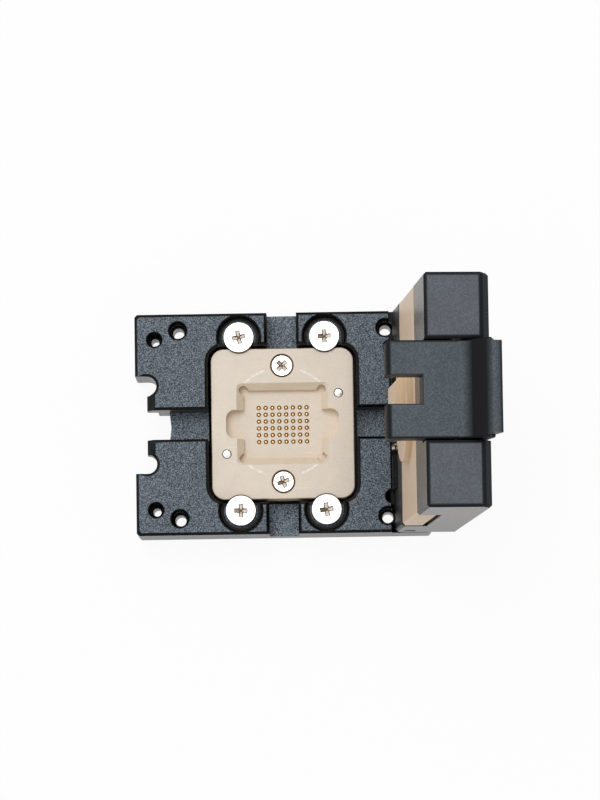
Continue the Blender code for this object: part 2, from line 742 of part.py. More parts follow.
def lid_frame(axis):
    """Milled lid: legs for the hinge, cross slot for the plate, latch slot."""
    radius = LID_INNER_OFFSET
    profile = arc(0.0, radius - LID_HEEL, radius, 180, 270, 6)
    profile += [
        (LID_OUTER, -LID_HEEL),
        (LID_OUTER, LID_REACH - LID_END_CHAMFER_LENGTH),
        (LID_OUTER - LID_END_CHAMFER, LID_REACH),
        (LID_INNER, LID_REACH),
    ]
    half = LID_WIDTH / 2
    mesh = bmesh.new()
    loft(mesh, [(profile, -half), (profile, half)], "Y")
    lid = add_object("lid_frame", mesh, lid_anodised, axis)
    break_edges(lid, LID_EDGE)
    cut_plate_slot(lid)
    cut_hinge_notch(lid)
    cut_latch_slot(lid)
    cut_guide_bores(lid)
    return lid


def cut_plate_slot(lid):
    """Slot across the inner face that lets the pressure plate slide."""
    low = HINGE_X - PRESSURE_LENGTH / 2 - SEAT
    high = HINGE_X + PRESSURE_LENGTH / 2 + SEAT
    rim = LID_EDGE + OVER
    slot = [
        (SLOT_BOTTOM, low),
        (SLOT_BOTTOM, high),
        (LID_INNER + LID_EDGE, high),
        (LID_INNER - OVER, high + rim),
        (LID_INNER - OVER, low - rim),
        (LID_INNER + LID_EDGE, low),
    ]
    reach = LID_WIDTH / 2 + OVER
    combine(lid, "cut_plate_slot", [([(slot, -reach), (slot, reach)], "Y")])


def cut_hinge_notch(lid):
    """Room for the ears and the spring, and the bore for the hinge pin."""
    middle = (LID_OUTER + LID_INNER) / 2
    half = LID_THICKNESS / 2 + OVER
    notch = rectangle(half, HINGE_NOTCH_HALF_WIDTH, middle, 0.0)
    sections = [(notch, -LID_HEEL - OVER), (notch, HINGE_NOTCH_DEPTH)]
    combine(lid, "cut_hinge_notch", [(sections, "Z")])
    bore = circle(HINGE_PIN_RADIUS + SEAT, 0.0, 0.0, 16)
    reach = LID_WIDTH / 2 + OVER
    combine(lid, "cut_hinge_bore", [([(bore, -reach), (bore, reach)], "Y")])


def cut_latch_slot(lid):
    """Slot at the free end, its pin bore and the pocket of the latch spring."""
    half = LATCH_WIDTH / 2 + LATCH_SLOT_PLAY
    outside = LID_OUTER + OVER
    beyond = LID_REACH + OVER
    slot = [
        (LATCH_WEB_T, LATCH_SLOT_S),
        (outside, LATCH_SLOT_S),
        (outside, beyond),
        (LID_INNER - OVER, beyond),
        (LID_INNER - OVER, LATCH_FLOOR_S),
        (LATCH_WEB_T, LATCH_FLOOR_S),
    ]
    combine(lid, "cut_latch_slot", [([(slot, -half), (slot, half)], "Y")])
    middle = (LID_OUTER + LID_INNER) / 2
    run = LID_THICKNESS / 2 + OVER
    mouth = rectangle(run, half, middle, 0.0)
    wide = rectangle(run, half + LID_EDGE + OVER, middle, 0.0)
    sections = [(mouth, LID_REACH - LID_EDGE), (wide, LID_REACH + OVER)]
    combine(lid, "cut_latch_mouth", [(sections, "Z")])
    bore = circle(LATCH_PIN_RADIUS + SEAT, LATCH_PIVOT_T, LATCH_PIVOT_S, 16)
    blind = -LID_WIDTH / 2 + LATCH_WIDTH / 3
    sections = [(bore, blind), (bore, LID_WIDTH / 2 + OVER)]
    combine(lid, "cut_latch_bore", [(sections, "Y")])
    outline = circle(LATCH_SPRING_RADIUS + 2 * RUNNING, 0.0, latch_spring_s(), 16)
    sections = [(outline, LATCH_WEB_T - LATCH_SPRING_WIRE * 2), (outline, LATCH_WEB_T + SEAT)]
    combine(lid, "cut_latch_spring_pocket", [(sections, "X")])


def guide_places():
    """Where the four guide screws pass through the lid, as (y, s)."""
    return [(-GUIDE_Y, HINGE_X - GUIDE_ALONG), (GUIDE_Y, HINGE_X - GUIDE_ALONG),
            (-GUIDE_Y, HINGE_X + GUIDE_ALONG), (GUIDE_Y, HINGE_X + GUIDE_ALONG)]


def cut_guide_bores(lid):
    """Stepped bores: spring pocket inside, screw head recess outside."""
    lofts = []
    for y, s in guide_places():
        pocket = circle(PLATE_SPRING_RADIUS + 2 * RUNNING + PLATE_SPRING_WIRE / 2, y, s, 16)
        shank = circle(GUIDE_SHANK_RADIUS + SEAT, y, s, 16)
        head = circle(GUIDE_HEAD_RADIUS + RUNNING, y, s, 16)
        pocket_floor = SLOT_BOTTOM + PLATE_SPRING_POCKET
        head_floor = LID_OUTER - GUIDE_HEAD_FLOOR
        lofts.append(([(pocket, SLOT_BOTTOM - OVER), (pocket, pocket_floor), (shank, pocket_floor),
                       (shank, head_floor), (head, head_floor), (head, LID_OUTER + OVER)], "X"))
    combine(lid, "cut_guide_bores", lofts)


def pressure_plate(axis, offset):
    """Floating PEEK plate: round boss and a block that presses the package."""
    mesh = bmesh.new()
    half = PRESSURE_LENGTH / 2
    corner = 0.0004
    edge = LID_EDGE
    outer = rounded_rectangle(LID_WIDTH / 2 - SEAT / 2, half, corner, 3, 0.0, HINGE_X)
    inner = rounded_rectangle(LID_WIDTH / 2 - SEAT / 2 - edge, half - edge, corner, 3, 0.0, HINGE_X)
    loft(mesh, [(inner, LID_INNER), (outer, LID_INNER + edge), (outer, PLATE_BACK)], "X")
    plate = add_object("pressure_plate", mesh, peek, axis, offset)

    boss_face = LID_INNER - BOSS_HEIGHT
    boss = circle(BOSS_RADIUS, 0.0, HINGE_X, 40)
    boss_rim = circle(BOSS_RADIUS - SEAT, 0.0, HINGE_X, 40)
    root = LID_INNER + PRESSURE_THICKNESS / 2
    combine(plate, "join_boss", [([(boss_rim, boss_face), (boss, boss_face + SEAT), (boss, root)], "X")], "UNION")

    cut = NOSE_BLOCK_CHAMFER
    block = rounded_rectangle(NOSE_BLOCK_WIDTH / 2, NOSE_BLOCK_LENGTH / 2, corner, 3, 0.0, HINGE_X)
    face = rounded_rectangle(NOSE_BLOCK_WIDTH / 2 - cut, NOSE_BLOCK_LENGTH / 2 - cut / 2, corner, 3, 0.0, HINGE_X)
    tip = boss_face - NOSE_BLOCK_HEIGHT
    combine(plate, "join_block", [([(face, tip), (block, tip + cut), (block, root)], "X")], "UNION")

    holes = []
    for y, s in guide_places():
        thread = circle(GUIDE_SHANK_RADIUS + SEAT, y, s, 16)
        holes.append(([(thread, guide_end() - SEAT), (thread, PLATE_BACK + OVER)], "X"))
    combine(plate, "cut_guide_threads", holes)
    return plate


def guide_end():
    """How deep the guide screws reach into the pressure plate."""
    return PLATE_BACK - PRESSURE_THICKNESS * 0.6


def guide_screw(number, axis, offset, y, s):
    """Shoulder screw that carries the pressure plate and lets it slide."""
    mesh = bmesh.new()
    seat = LID_OUTER - GUIDE_HEAD_FLOOR + SEAT
    top = seat + GUIDE_HEAD_THICKNESS
    shank = circle(GUIDE_SHANK_RADIUS, y, s, 16)
    head = circle(GUIDE_HEAD_RADIUS, y, s, 16)
    crown = circle(GUIDE_HEAD_RADIUS - SEAT, y, s, 16)
    loft(mesh, [(shank, guide_end()), (shank, seat), (head, seat), (head, top - SEAT), (crown, top)], "X")
    screw = add_object("guide_screw_%d" % number, mesh, nickel, axis, offset)
    cross_recess(screw, 0.8, 15.0 * number, y, s, top, "X")
    return screw


def plate_spring(number, axis, y, s):
    """Compression spring between the lid and the pressure plate."""
    low = PLATE_BACK + SEAT + PLATE_SPRING_WIRE / 2
    high = SLOT_BOTTOM + PLATE_SPRING_POCKET - SEAT - PLATE_SPRING_WIRE / 2
    points = []
    for u, v, rise in coil_points(PLATE_SPRING_RADIUS, high - low, PLATE_SPRING_TURNS):
        points.append((low + rise, y + u, s + v))
    return wire("plate_spring_%d" % number, points, PLATE_SPRING_WIRE, spring_steel, axis)


def latch_spring_s():
    """Where the latch spring pushes on the latch's tail."""
    return LATCH_TAIL_S + LATCH_SPRING_RADIUS + 2 * RUNNING


def latch(axis, offset):
    """Two-armed latch with a raised thumb tab, in one milled piece."""
    edge = EDGE_BREAK
    tip = HOOK_LEDGE_T - HOOK_THICKNESS
    hook_s = ARM_INNER_S - HOOK_DEPTH - RUNNING
    arm_t = LID_INNER - RUNNING
    body_s = LATCH_FLOOR_S + SEAT
    tab_top = LID_REACH + TAB_REACH
    tab_outer = LID_OUTER + TAB_LIP
    tab_inner = tab_outer - TAB_THICKNESS
    tail_outer = LID_OUTER - edge
    neck_s = LATCH_TAIL_S + LATCH_TAIL_NECK
    profile = [
        (tip + edge, LID_REACH),
        (LID_OUTER - TAB_ROOT, LID_REACH),
        (tab_inner - edge, tab_top - 2 * edge),
        (tab_inner + edge, tab_top),
        (tab_outer - edge, tab_top),
        (tab_outer, tab_top - edge),
        (tab_outer, tab_top - 2 * edge),
        (LID_OUTER + SEAT, LID_REACH - TAB_SHOULDER),
        (tail_outer, LATCH_FLOOR_S),
        (tail_outer, LATCH_TAIL_S + edge),
        (tail_outer - edge, LATCH_TAIL_S),
        (LATCH_TAIL_T, LATCH_TAIL_S),
        (LATCH_TAIL_T, neck_s),
        (LATCH_TAIL_T - LATCH_NECK, body_s - LATCH_NECK),
        (LATCH_WEB_T + 3 * SEAT, body_s),
        (arm_t, body_s),
        (arm_t - edge, ARM_INNER_S),
        (HOOK_LEDGE_T, ARM_INNER_S),
        (HOOK_LEDGE_T, hook_s),
        (HOOK_LEDGE_T - HOOK_THICKNESS / 2, hook_s),
        (tip, ARM_INNER_S - edge),
        (tip, LID_REACH - edge),
    ]
    half = LATCH_WIDTH / 2
    mesh = bmesh.new()
    loft(mesh, [(profile, -half), (profile, half)], "Y")
    piece = add_object("latch", mesh, lid_anodised, axis, offset)
    break_edges(piece, LID_EDGE / 2)
    gap_root = LID_INNER - 2 * RUNNING
    gap = rectangle((gap_root - tip + OVER) / 2, LATCH_ARM_GAP / 2, (gap_root + tip - OVER) / 2, 0.0)
    lofts = [([(gap, LATCH_TAIL_S), (gap, LID_REACH + OVER)], "Z")]
    for side in (-1, 1):
        corner = [
            (tab_inner + edge, side * (half + OVER)),
            (tab_inner + edge, side * half),
            (tab_inner + edge + TAB_CORNER, side * (half - TAB_CORNER)),
            (tab_outer + OVER, side * (half - TAB_CORNER)),
            (tab_outer + OVER, side * (half + OVER)),
        ]
        lofts.append(([(corner, LID_REACH), (corner, tab_top + OVER)], "Z"))
    combine(piece, "cut_arm_gap", lofts)
    bore = circle(LATCH_PIN_RADIUS + SEAT, LATCH_PIVOT_T, LATCH_PIVOT_S, 16)
    combine(piece, "cut_latch_pivot", [([(bore, -half - OVER), (bore, half + OVER)], "Y")])
    return piece


def latch_pin(axis):
    """Straight pin on which the latch turns."""
    mesh = bmesh.new()
    low = -LID_WIDTH / 2 + LATCH_WIDTH / 3 + SEAT
    high = LID_WIDTH / 2 - HINGE_PIN_INSET
    shaft = circle(LATCH_PIN_RADIUS, LATCH_PIVOT_T, LATCH_PIVOT_S, 16)
    nose = circle(LATCH_PIN_RADIUS - SEAT, LATCH_PIVOT_T, LATCH_PIVOT_S, 16)
    loft(mesh, [(nose, low), (shaft, low + SEAT), (shaft, high - SEAT), (nose, high)], "Y")
    pin = add_object("latch_pin", mesh, nickel, axis)
    shade_round(pin)
    return pin


def latch_spring(axis):
    """Compression spring that keeps the hooks in."""
    low = LATCH_WEB_T - LATCH_SPRING_WIRE * 2 + SEAT + LATCH_SPRING_WIRE / 2
    high = LATCH_TAIL_T - SEAT - LATCH_SPRING_WIRE / 2
    points = []
    for u, v, rise in coil_points(LATCH_SPRING_RADIUS - LATCH_SPRING_WIRE / 2, high - low, LATCH_SPRING_TURNS):
        points.append((low + rise, u, latch_spring_s() + v))
    return wire("latch_spring", points, LATCH_SPRING_WIRE, spring_steel, axis)


def clear_scene():
    for old in list(bpy.data.objects):
        bpy.data.objects.remove(old, do_unlink=True)


def build():
    clear_scene()
    base_frame()
    pin_body()
    contact_plate()
    for number, (x, y) in enumerate(quadrants(CLAMP_SCREW_X, CLAMP_SCREW_Y), 1):
        clamp_screw(number, x, y, CLAMP_TURNS[number - 1])
    for number, side in enumerate((1, -1), 1):
        plate_screw(number, side * PLATE_SCREW_Y, PLATE_TURNS[number - 1])
        locating_pin(number, side * LOCATING_X, side * LOCATING_Y)
    hinge_pin()
    torsion_spring()

    lid_axis = empty("lid_axis", (HINGE_X, 0.0, HINGE_Z), lean=OPEN_LEAN)
    lid_frame(lid_axis)
    latch_pin(lid_axis)
    latch_spring(lid_axis)

    slide_axis = empty("slide_axis", (0.0, 0.0, HINGE_X), lid_axis)
    back = (0.0, 0.0, -HINGE_X)
    pressure_plate(slide_axis, back)
    for number, (y, s) in enumerate(guide_places(), 1):
        guide_screw(number, slide_axis, back, y, s)
        plate_spring(number, lid_axis, y, s)

    latch_axis = empty("latch_axis", (LATCH_PIVOT_T, 0.0, LATCH_PIVOT_S), lid_axis)
    latch(latch_axis, (-LATCH_PIVOT_T, 0.0, -LATCH_PIVOT_S))
    bpy.context.view_layer.update()


build()
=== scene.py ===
# %% [markdown]
# A clamshell test socket for a small ball grid array package. Its lid stands open, and the camera
# looks almost straight down on it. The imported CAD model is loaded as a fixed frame. Each milled
# aluminium piece of it is given its finish, and the two PEEK plates in the base, the screws, contact
# pins, dowels and springs are modelled again with rounder faces. This first cell loads the frame and
# keeps the size of its box.

# %% Load the frame
import math

import bmesh
import bpy
import mathutils
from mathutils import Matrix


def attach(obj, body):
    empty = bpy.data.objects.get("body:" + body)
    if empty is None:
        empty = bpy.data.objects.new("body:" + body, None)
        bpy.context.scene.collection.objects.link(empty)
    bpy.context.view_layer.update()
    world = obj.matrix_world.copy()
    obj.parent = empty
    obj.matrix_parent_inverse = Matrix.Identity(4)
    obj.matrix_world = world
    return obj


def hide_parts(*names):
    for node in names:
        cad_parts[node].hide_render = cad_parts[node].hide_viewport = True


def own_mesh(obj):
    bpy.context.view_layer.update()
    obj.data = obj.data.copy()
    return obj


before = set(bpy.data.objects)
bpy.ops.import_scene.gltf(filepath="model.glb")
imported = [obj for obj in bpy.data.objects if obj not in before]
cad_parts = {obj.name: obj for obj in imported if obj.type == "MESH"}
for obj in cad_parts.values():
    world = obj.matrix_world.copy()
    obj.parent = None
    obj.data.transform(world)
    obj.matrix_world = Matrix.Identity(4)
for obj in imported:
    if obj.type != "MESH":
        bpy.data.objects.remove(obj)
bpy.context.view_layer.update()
MM = 0.001

# %% [markdown]
# The camera stands 0.57 m above the socket with a long lens, so the lid's free end, which is
# nearer, looks only a little larger. It could be placed by eye, but it was worked out from the
# corners and holes of the base, because then the lid's lean and height can be read off as well. View
# transform Standard keeps colours as they are written.

# %% Camera
SENSOR_WIDTH_MM = 36.0
FOCAL_LENGTH_MM = 219.93
NEAREST_SEEN = 0.01
CAMERA_PLACE = (9.604 * MM, -55.831 * MM, 573.542 * MM)
CAMERA_TURN_DEGREES = (5.88035, 0.84833, -0.84043)

camera_data = bpy.data.cameras.new("camera")
camera_data.sensor_width = SENSOR_WIDTH_MM
camera_data.lens = FOCAL_LENGTH_MM
camera_data.clip_start = NEAREST_SEEN
camera = bpy.data.objects.new("camera", camera_data)
camera.location = CAMERA_PLACE
camera.rotation_euler = [math.radians(angle) for angle in CAMERA_TURN_DEGREES]
bpy.context.scene.collection.objects.link(camera)
bpy.context.scene.camera = camera
bpy.context.scene.view_settings.view_transform = "Standard"
print("camera height in mm:", round(camera.location.z / MM, 1))

# %% [markdown]
# Colours are written as sRGB hex, as a colour picker shows them, and one function turns them
# linear for the shaders. A second small function adds a node with its settings and links, so that
# a material reads as a short list of steps.

# %% Colour and node helpers
def linear(hex_colour):
    """A sRGB hex colour as the linear values that shaders use."""
    values = []
    for start in (1, 3, 5):
        part = int(hex_colour[start:start + 2], 16) / 255
        values.append(part / 12.92 if part <= 0.04045 else ((part + 0.055) / 1.055) ** 2.4)
    return (*values, 1.0)


def add_node(tree, kind, settings=None, **links):
    """Add a node. A setting is a property or an input, and a link feeds an input from another node."""
    node = tree.nodes.new(kind)
    for name, value in (settings or {}).items():
        if isinstance(name, str) and hasattr(node, name):
            setattr(node, name, value)
        else:
            node.inputs[name].default_value = value
    for name, output in links.items():
        key = int(name[1:]) if name[1:].isdigit() else name.replace("_", " ")
        tree.links.new(output, node.inputs[key])
    return node


def new_material(name, colour, roughness, metallic=0.0, specular=0.5):
    """A material with its own Principled shader; returns the material, its tree and the shader."""
    material = bpy.data.materials.new(name)
    material.use_nodes = True
    tree = material.node_tree
    shader = tree.nodes["Principled BSDF"]
    shader.inputs["Base Color"].default_value = linear(colour)
    shader.inputs["Roughness"].default_value = roughness
    shader.inputs["Metallic"].default_value = metallic
    shader.inputs["Specular IOR Level"].default_value = specular
    return material, tree, shader


def seen_plainly(tree):
    """One for rays from the camera and for those off metal or through glass, zero for the rest."""
    path = add_node(tree, "ShaderNodeLightPath")
    direct = add_node(tree, "ShaderNodeMath", {"operation": "MAXIMUM"},
                      _0=path.outputs["Is Camera Ray"], _1=path.outputs["Is Transmission Ray"])
    every = add_node(tree, "ShaderNodeMath", {"operation": "MAXIMUM"},
                     _0=direct.outputs[0], _1=path.outputs["Is Glossy Ray"])
    return every.outputs[0]


print("white is", linear("#ffffff"))

# %% [markdown]
# Light. A big soft lamp hangs above and a little behind the socket, and the world fills the rest.
# Several small lamps would do too, but each would leave a hard spot on every screw head. The world
# looks plain white to the camera and in reflections, and is a weaker light for everything else. The
# white table glows for the camera, which leaves only a faint shadow on it, as on a photographer's
# light table.

# %% World, lamp and table
WORLD_FILL = 0.60
LAMP_POWER = 2.5
LAMP_SIZE = 0.45
LAMP_PLACE = (-0.12, 0.26, 0.75)
LAMP_TARGET = (0.0, 0.0, 0.01)
TABLE_SIZE = 3.0
TABLE_GLOW = 0.93

world = bpy.data.worlds.new("white_room")
world.use_nodes = True
bpy.context.scene.world = world
tree = world.node_tree
background = tree.nodes["Background"]
level = add_node(tree, "ShaderNodeMapRange", {"To Min": WORLD_FILL, "To Max": 1.0},
                 Value=seen_plainly(tree))
background.inputs["Color"].default_value = linear("#ffffff")
tree.links.new(level.outputs[0], background.inputs["Strength"])

lamp_data = bpy.data.lights.new("softbox", "AREA")
lamp_data.shape = "SQUARE"
lamp_data.size = LAMP_SIZE
lamp_data.energy = LAMP_POWER
lamp = bpy.data.objects.new("softbox", lamp_data)
lamp.location = LAMP_PLACE
aim = mathutils.Vector(LAMP_TARGET) - lamp.location
lamp.rotation_euler = aim.to_track_quat("-Z", "Y").to_euler()
bpy.context.scene.collection.objects.link(lamp)

bpy.ops.object.select_all(action="DESELECT")
bpy.ops.mesh.primitive_plane_add(size=TABLE_SIZE, location=(0.0, 0.0, 0.0))
floor = bpy.context.object
floor.name = "table_top"
material, tree, shader = new_material("white_table", "#f4f4f4", 0.7)
glow = add_node(tree, "ShaderNodeEmission", {"Color": linear("#ffffff"), "Strength": 1.0})
share = add_node(tree, "ShaderNodeMath", {"operation": "MULTIPLY", 1: TABLE_GLOW}, _0=seen_plainly(tree))
mixed = add_node(tree, "ShaderNodeMixShader", None,
                 _0=share.outputs[0], _1=shader.outputs[0], _2=glow.outputs[0])
tree.links.new(mixed.outputs[0], tree.nodes["Material Output"].inputs["Surface"])
floor.data.materials.append(material)
print("stage:", floor.name)

# %% [markdown]
# Anodised aluminium. The base was blasted with glass beads before it was anodised black, which
# leaves a fine sparkle of tiny dents: a dark blue grey face with light and dark grains. The real
# dents of 0.05 mm are too fine to show, so the grain is drawn at 0.07 mm. The lid and the latch
# were milled and only lightly blasted: they look even and grey, with faint clouds, and their grain
# is drawn at 0.12 mm. The latch is handled most, so it is matt. Walls are smoother than the faces
# that look up, and their darker colour is painted shade: the more a face leans, the more it takes
# that colour. The lid's walls are drawn darker towards the hinge, as painted shade, and the floors
# of the base's channels a little lighter, as painted light. The grain is a pattern on the piece's
# own coordinates. A picture of grains would need the piece unwrapped and show its seams.

# %% Blasted and anodised
CLOUD_SIZE = 3.5 * MM
DENT_DEPTH = 0.01 * MM
PAINTED_LIGHT_LEVELS = (3.5 * MM, 6.5 * MM)
DARKEST_PAINTED_SHADE = 0.12
WALL_SMOOTHNESS = 0.12


def anodised_with_painted_shade_and_light(name, dark, middle, light, wall_shade, grain_mm, contrast, specular,
                     shade_fade_mm=None, channel_painted_light=1.0, lean_degrees=(36.9, 60.0)):
    """Black anodising over a blasted face: coloured grains, small dents, uneven gloss, walls in painted
    shade.
    If heights in mm are given for the fade, that painted shade goes from darkest to full between them. A
    face takes the painted shade as it leans from the first to the second of lean_degrees."""
    material, tree, shader = new_material(name, middle, 0.5, 0.0, specular)
    coordinates = add_node(tree, "ShaderNodeTexCoord")
    place = coordinates.outputs["Object"]
    grain_scale = 1.0 / (grain_mm * MM)
    grain = add_node(tree, "ShaderNodeTexNoise", {"Scale": grain_scale, "Detail": 1.0}, Vector=place)
    dent = add_node(tree, "ShaderNodeTexVoronoi", {"Scale": grain_scale}, Vector=place)
    chance = add_node(tree, "ShaderNodeSeparateXYZ", None, Vector=dent.outputs["Color"])
    blend = add_node(tree, "ShaderNodeMix", {"data_type": "FLOAT", 0: 0.6},
                     _2=grain.outputs["Fac"], _3=chance.outputs["X"])
    ramp = add_node(tree, "ShaderNodeValToRGB", None, Fac=blend.outputs[0])
    stops = ramp.color_ramp.elements
    stops[0].position = 0.5 - contrast
    stops[0].color = linear(dark)
    stops[1].position = 0.5 + contrast
    stops[1].color = linear(light)
    centre = stops.new(0.5)
    centre.color = linear(middle)
    clouds = add_node(tree, "ShaderNodeTexNoise", {"Scale": 1.0 / CLOUD_SIZE, "Detail": 4.0}, Vector=place)
    tint = add_node(tree, "ShaderNodeMapRange",
                    {"From Min": 0.3, "From Max": 0.7, "To Min": 0.93, "To Max": 1.07},
                    Value=clouds.outputs["Fac"])
    height = add_node(tree, "ShaderNodeSeparateXYZ", None, Vector=place)
    # Painted light: low faces, the floors of the base's channels, are drawn lighter.
    painted_floor_light = add_node(tree, "ShaderNodeMapRange",
                          {"From Min": PAINTED_LIGHT_LEVELS[0], "From Max": PAINTED_LIGHT_LEVELS[1],
                           "To Min": channel_painted_light, "To Max": 1.0},
                          Value=height.outputs["Z"])
    both = add_node(tree, "ShaderNodeMath", {"operation": "MULTIPLY"},
                    _0=tint.outputs[0], _1=painted_floor_light.outputs[0])
    shade = add_node(tree, "ShaderNodeVectorMath", {"operation": "SCALE"},
                     _0=ramp.outputs["Color"], Scale=both.outputs[0])
    # Painted shade: the more a face leans, the more it takes the darker side colour.
    facing = add_node(tree, "ShaderNodeSeparateXYZ", None, Vector=coordinates.outputs["Normal"])
    lean = add_node(tree, "ShaderNodeMath", {"operation": "ARCCOSINE"}, _0=facing.outputs["Z"])
    start, end = [math.radians(angle) for angle in lean_degrees]
    side = add_node(tree, "ShaderNodeMapRange",
                    {"From Min": start, "From Max": end, "To Min": 0.0, "To Max": 1.0},
                    Value=lean.outputs[0])
    mixed = add_node(tree, "ShaderNodeMix", {"data_type": "RGBA", 7: linear(wall_shade)})
    # Painted shade: where heights are given, the walls are drawn darker below them, on the lid towards its
    # hinge.
    if shade_fade_mm:
        lower = add_node(tree, "ShaderNodeMapRange",
                         {"From Min": shade_fade_mm[0] * MM, "From Max": shade_fade_mm[1] * MM,
                          "To Min": DARKEST_PAINTED_SHADE, "To Max": 1.0},
                         Value=height.outputs["Z"])
        walls = add_node(tree, "ShaderNodeVectorMath", {"operation": "SCALE", 0: linear(wall_shade)[:3]},
                         Scale=lower.outputs[0])
        tree.links.new(walls.outputs[0], mixed.inputs[7])
    tree.links.new(side.outputs[0], mixed.inputs[0])
    tree.links.new(shade.outputs[0], mixed.inputs[6])
    tree.links.new(mixed.outputs[2], shader.inputs["Base Color"])
    gloss = add_node(tree, "ShaderNodeMapRange",
                     {"From Min": 0.3, "From Max": 0.7, "To Min": 0.36, "To Max": 0.56},
                     Value=grain.outputs["Fac"])
    smoother = add_node(tree, "ShaderNodeMath", {"operation": "MULTIPLY", 1: WALL_SMOOTHNESS},
                        _0=side.outputs[0])
    rough = add_node(tree, "ShaderNodeMath", {"operation": "SUBTRACT"},
                     _0=gloss.outputs[0], _1=smoother.outputs[0])
    tree.links.new(rough.outputs[0], shader.inputs["Roughness"])
    bump = add_node(tree, "ShaderNodeBump", {"Strength": 0.3, "Distance": DENT_DEPTH},
                    Height=blend.outputs[0])
    tree.links.new(bump.outputs[0], shader.inputs["Normal"])
    return material


# The side colour given to each of these is painted shade.
base_face = anodised_with_painted_shade_and_light(
    "bead_blasted_anodised_with_painted_shade_and_light", dark="#0e141a", middle="#353e47", light="#8593a0", wall_shade="#1f1e1c",
    grain_mm=0.07, contrast=0.22, specular=0.3, channel_painted_light=1.45)
lid_face = anodised_with_painted_shade_and_light(
    "fine_milled_anodised_with_painted_shade", dark="#3d4148", middle="#4a4f58", light="#585e67", wall_shade="#514b48",
    grain_mm=0.12, contrast=0.35, specular=0.45, shade_fade_mm=(6.0, 34.0))
latch_face = anodised_with_painted_shade_and_light(
    "worn_latch_anodised_with_painted_shade", dark="#4a5054", middle="#575e63", light="#646b70", wall_shade="#232325",
    grain_mm=0.12, contrast=0.35, specular=0.02, lean_degrees=(6.0, 43.5))
print("anodised:", base_face.name, lid_face.name, latch_face.name)

# %% [markdown]
# The edges are broken by narrow smooth chamfers, and their colour is painted shade. On the base it
# is a deep black line round every face, which is what the eye reads first. On the lid and the latch
# the edges are dark grey and duller, and a band of lighter painted shade runs along the rims of their
# end faces. A few spots on all of them are rubbed pale. A darker line could be worked out from how
# sharp a place is, but the chamfers are faces of their own and can be chosen.

# %% Broken edges
RUBBED_SPOT_SIZE = 0.5 * MM


def broken_edge(name, colour, worn, specular):
    """A narrow chamfer in painted shade, smooth, with a few rubbed spots."""
    material, tree, shader = new_material(name, colour, 0.24, 0.0, specular)
    place = add_node(tree, "ShaderNodeTexCoord").outputs["Object"]
    rub = add_node(tree, "ShaderNodeTexNoise", {"Scale": 1.0 / RUBBED_SPOT_SIZE, "Detail": 5.0}, Vector=place)
    ramp = add_node(tree, "ShaderNodeValToRGB", None, Fac=rub.outputs["Fac"])
    stops = ramp.color_ramp.elements
    stops[0].position = 0.66
    stops[0].color = linear(colour)
    stops[1].position = 0.80
    stops[1].color = linear(worn)
    tree.links.new(ramp.outputs["Color"], shader.inputs["Base Color"])
    gloss = add_node(tree, "ShaderNodeMapRange",
                     {"From Min": 0.3, "From Max": 0.7, "To Min": 0.2, "To Max": 0.34},
                     Value=rub.outputs["Fac"])
    tree.links.new(gloss.outputs[0], shader.inputs["Roughness"])
    return material


# Painted shade on the chamfers and in the floors: black on the base, dark grey on the lid and the latch, and
# lighter along the rims of their end faces.
black_edge_shade = broken_edge("broken_edge_painted_shade", "#08090b", "#5d6468", 0.1)
lid_edge_shade = broken_edge("broken_lid_edge_painted_shade", "#242629", "#383c40", 0.015)
soft_rim_shade = broken_edge("lid_rim_painted_shade", "#3c4044", "#4a4e52", 0.03)
print("edges:", black_edge_shade.name, lid_edge_shade.name, soft_rim_shade.name)

# %% [markdown]
# PEEK is a hard beige plastic that lets a little light in. It is milled, so its faces are smooth
# with a faint mottle, and handling leaves pale hairline scratches; faces across the axis are browner,
# as painted shade. On the pin body the pressure plate's round boss has rubbed a ring at 6.4 mm from
# the centre, which shows as four short white arcs beside the two screws. The ring has no depth to
# model, so it is a mask in the material. The walls of drilled holes have a third colour, brown in
# uneven patches, which is painted shade.

# %% Machined PEEK
LIGHT_DEPTH = 0.5 * MM
MOTTLE_SIZE = 1.6 * MM
SPECK_SIZE = 0.12 * MM
SPECK_DEPTH = 0.01 * MM
RUB_RADIUS = 6.38 * MM
RUB_CENTRE_Y = 0.18 * MM
RUB_HALF_WIDTH = 0.17 * MM
RUB_ENDS_X = (2.0 * MM, 2.3 * MM)
RUB_ENDS_Y = (4.45 * MM, 4.8 * MM)
RUB_PATCH_SIZE = 0.35 * MM
HAIR_SIZE = 0.9 * MM
HAIR_TURN = math.radians(-34)


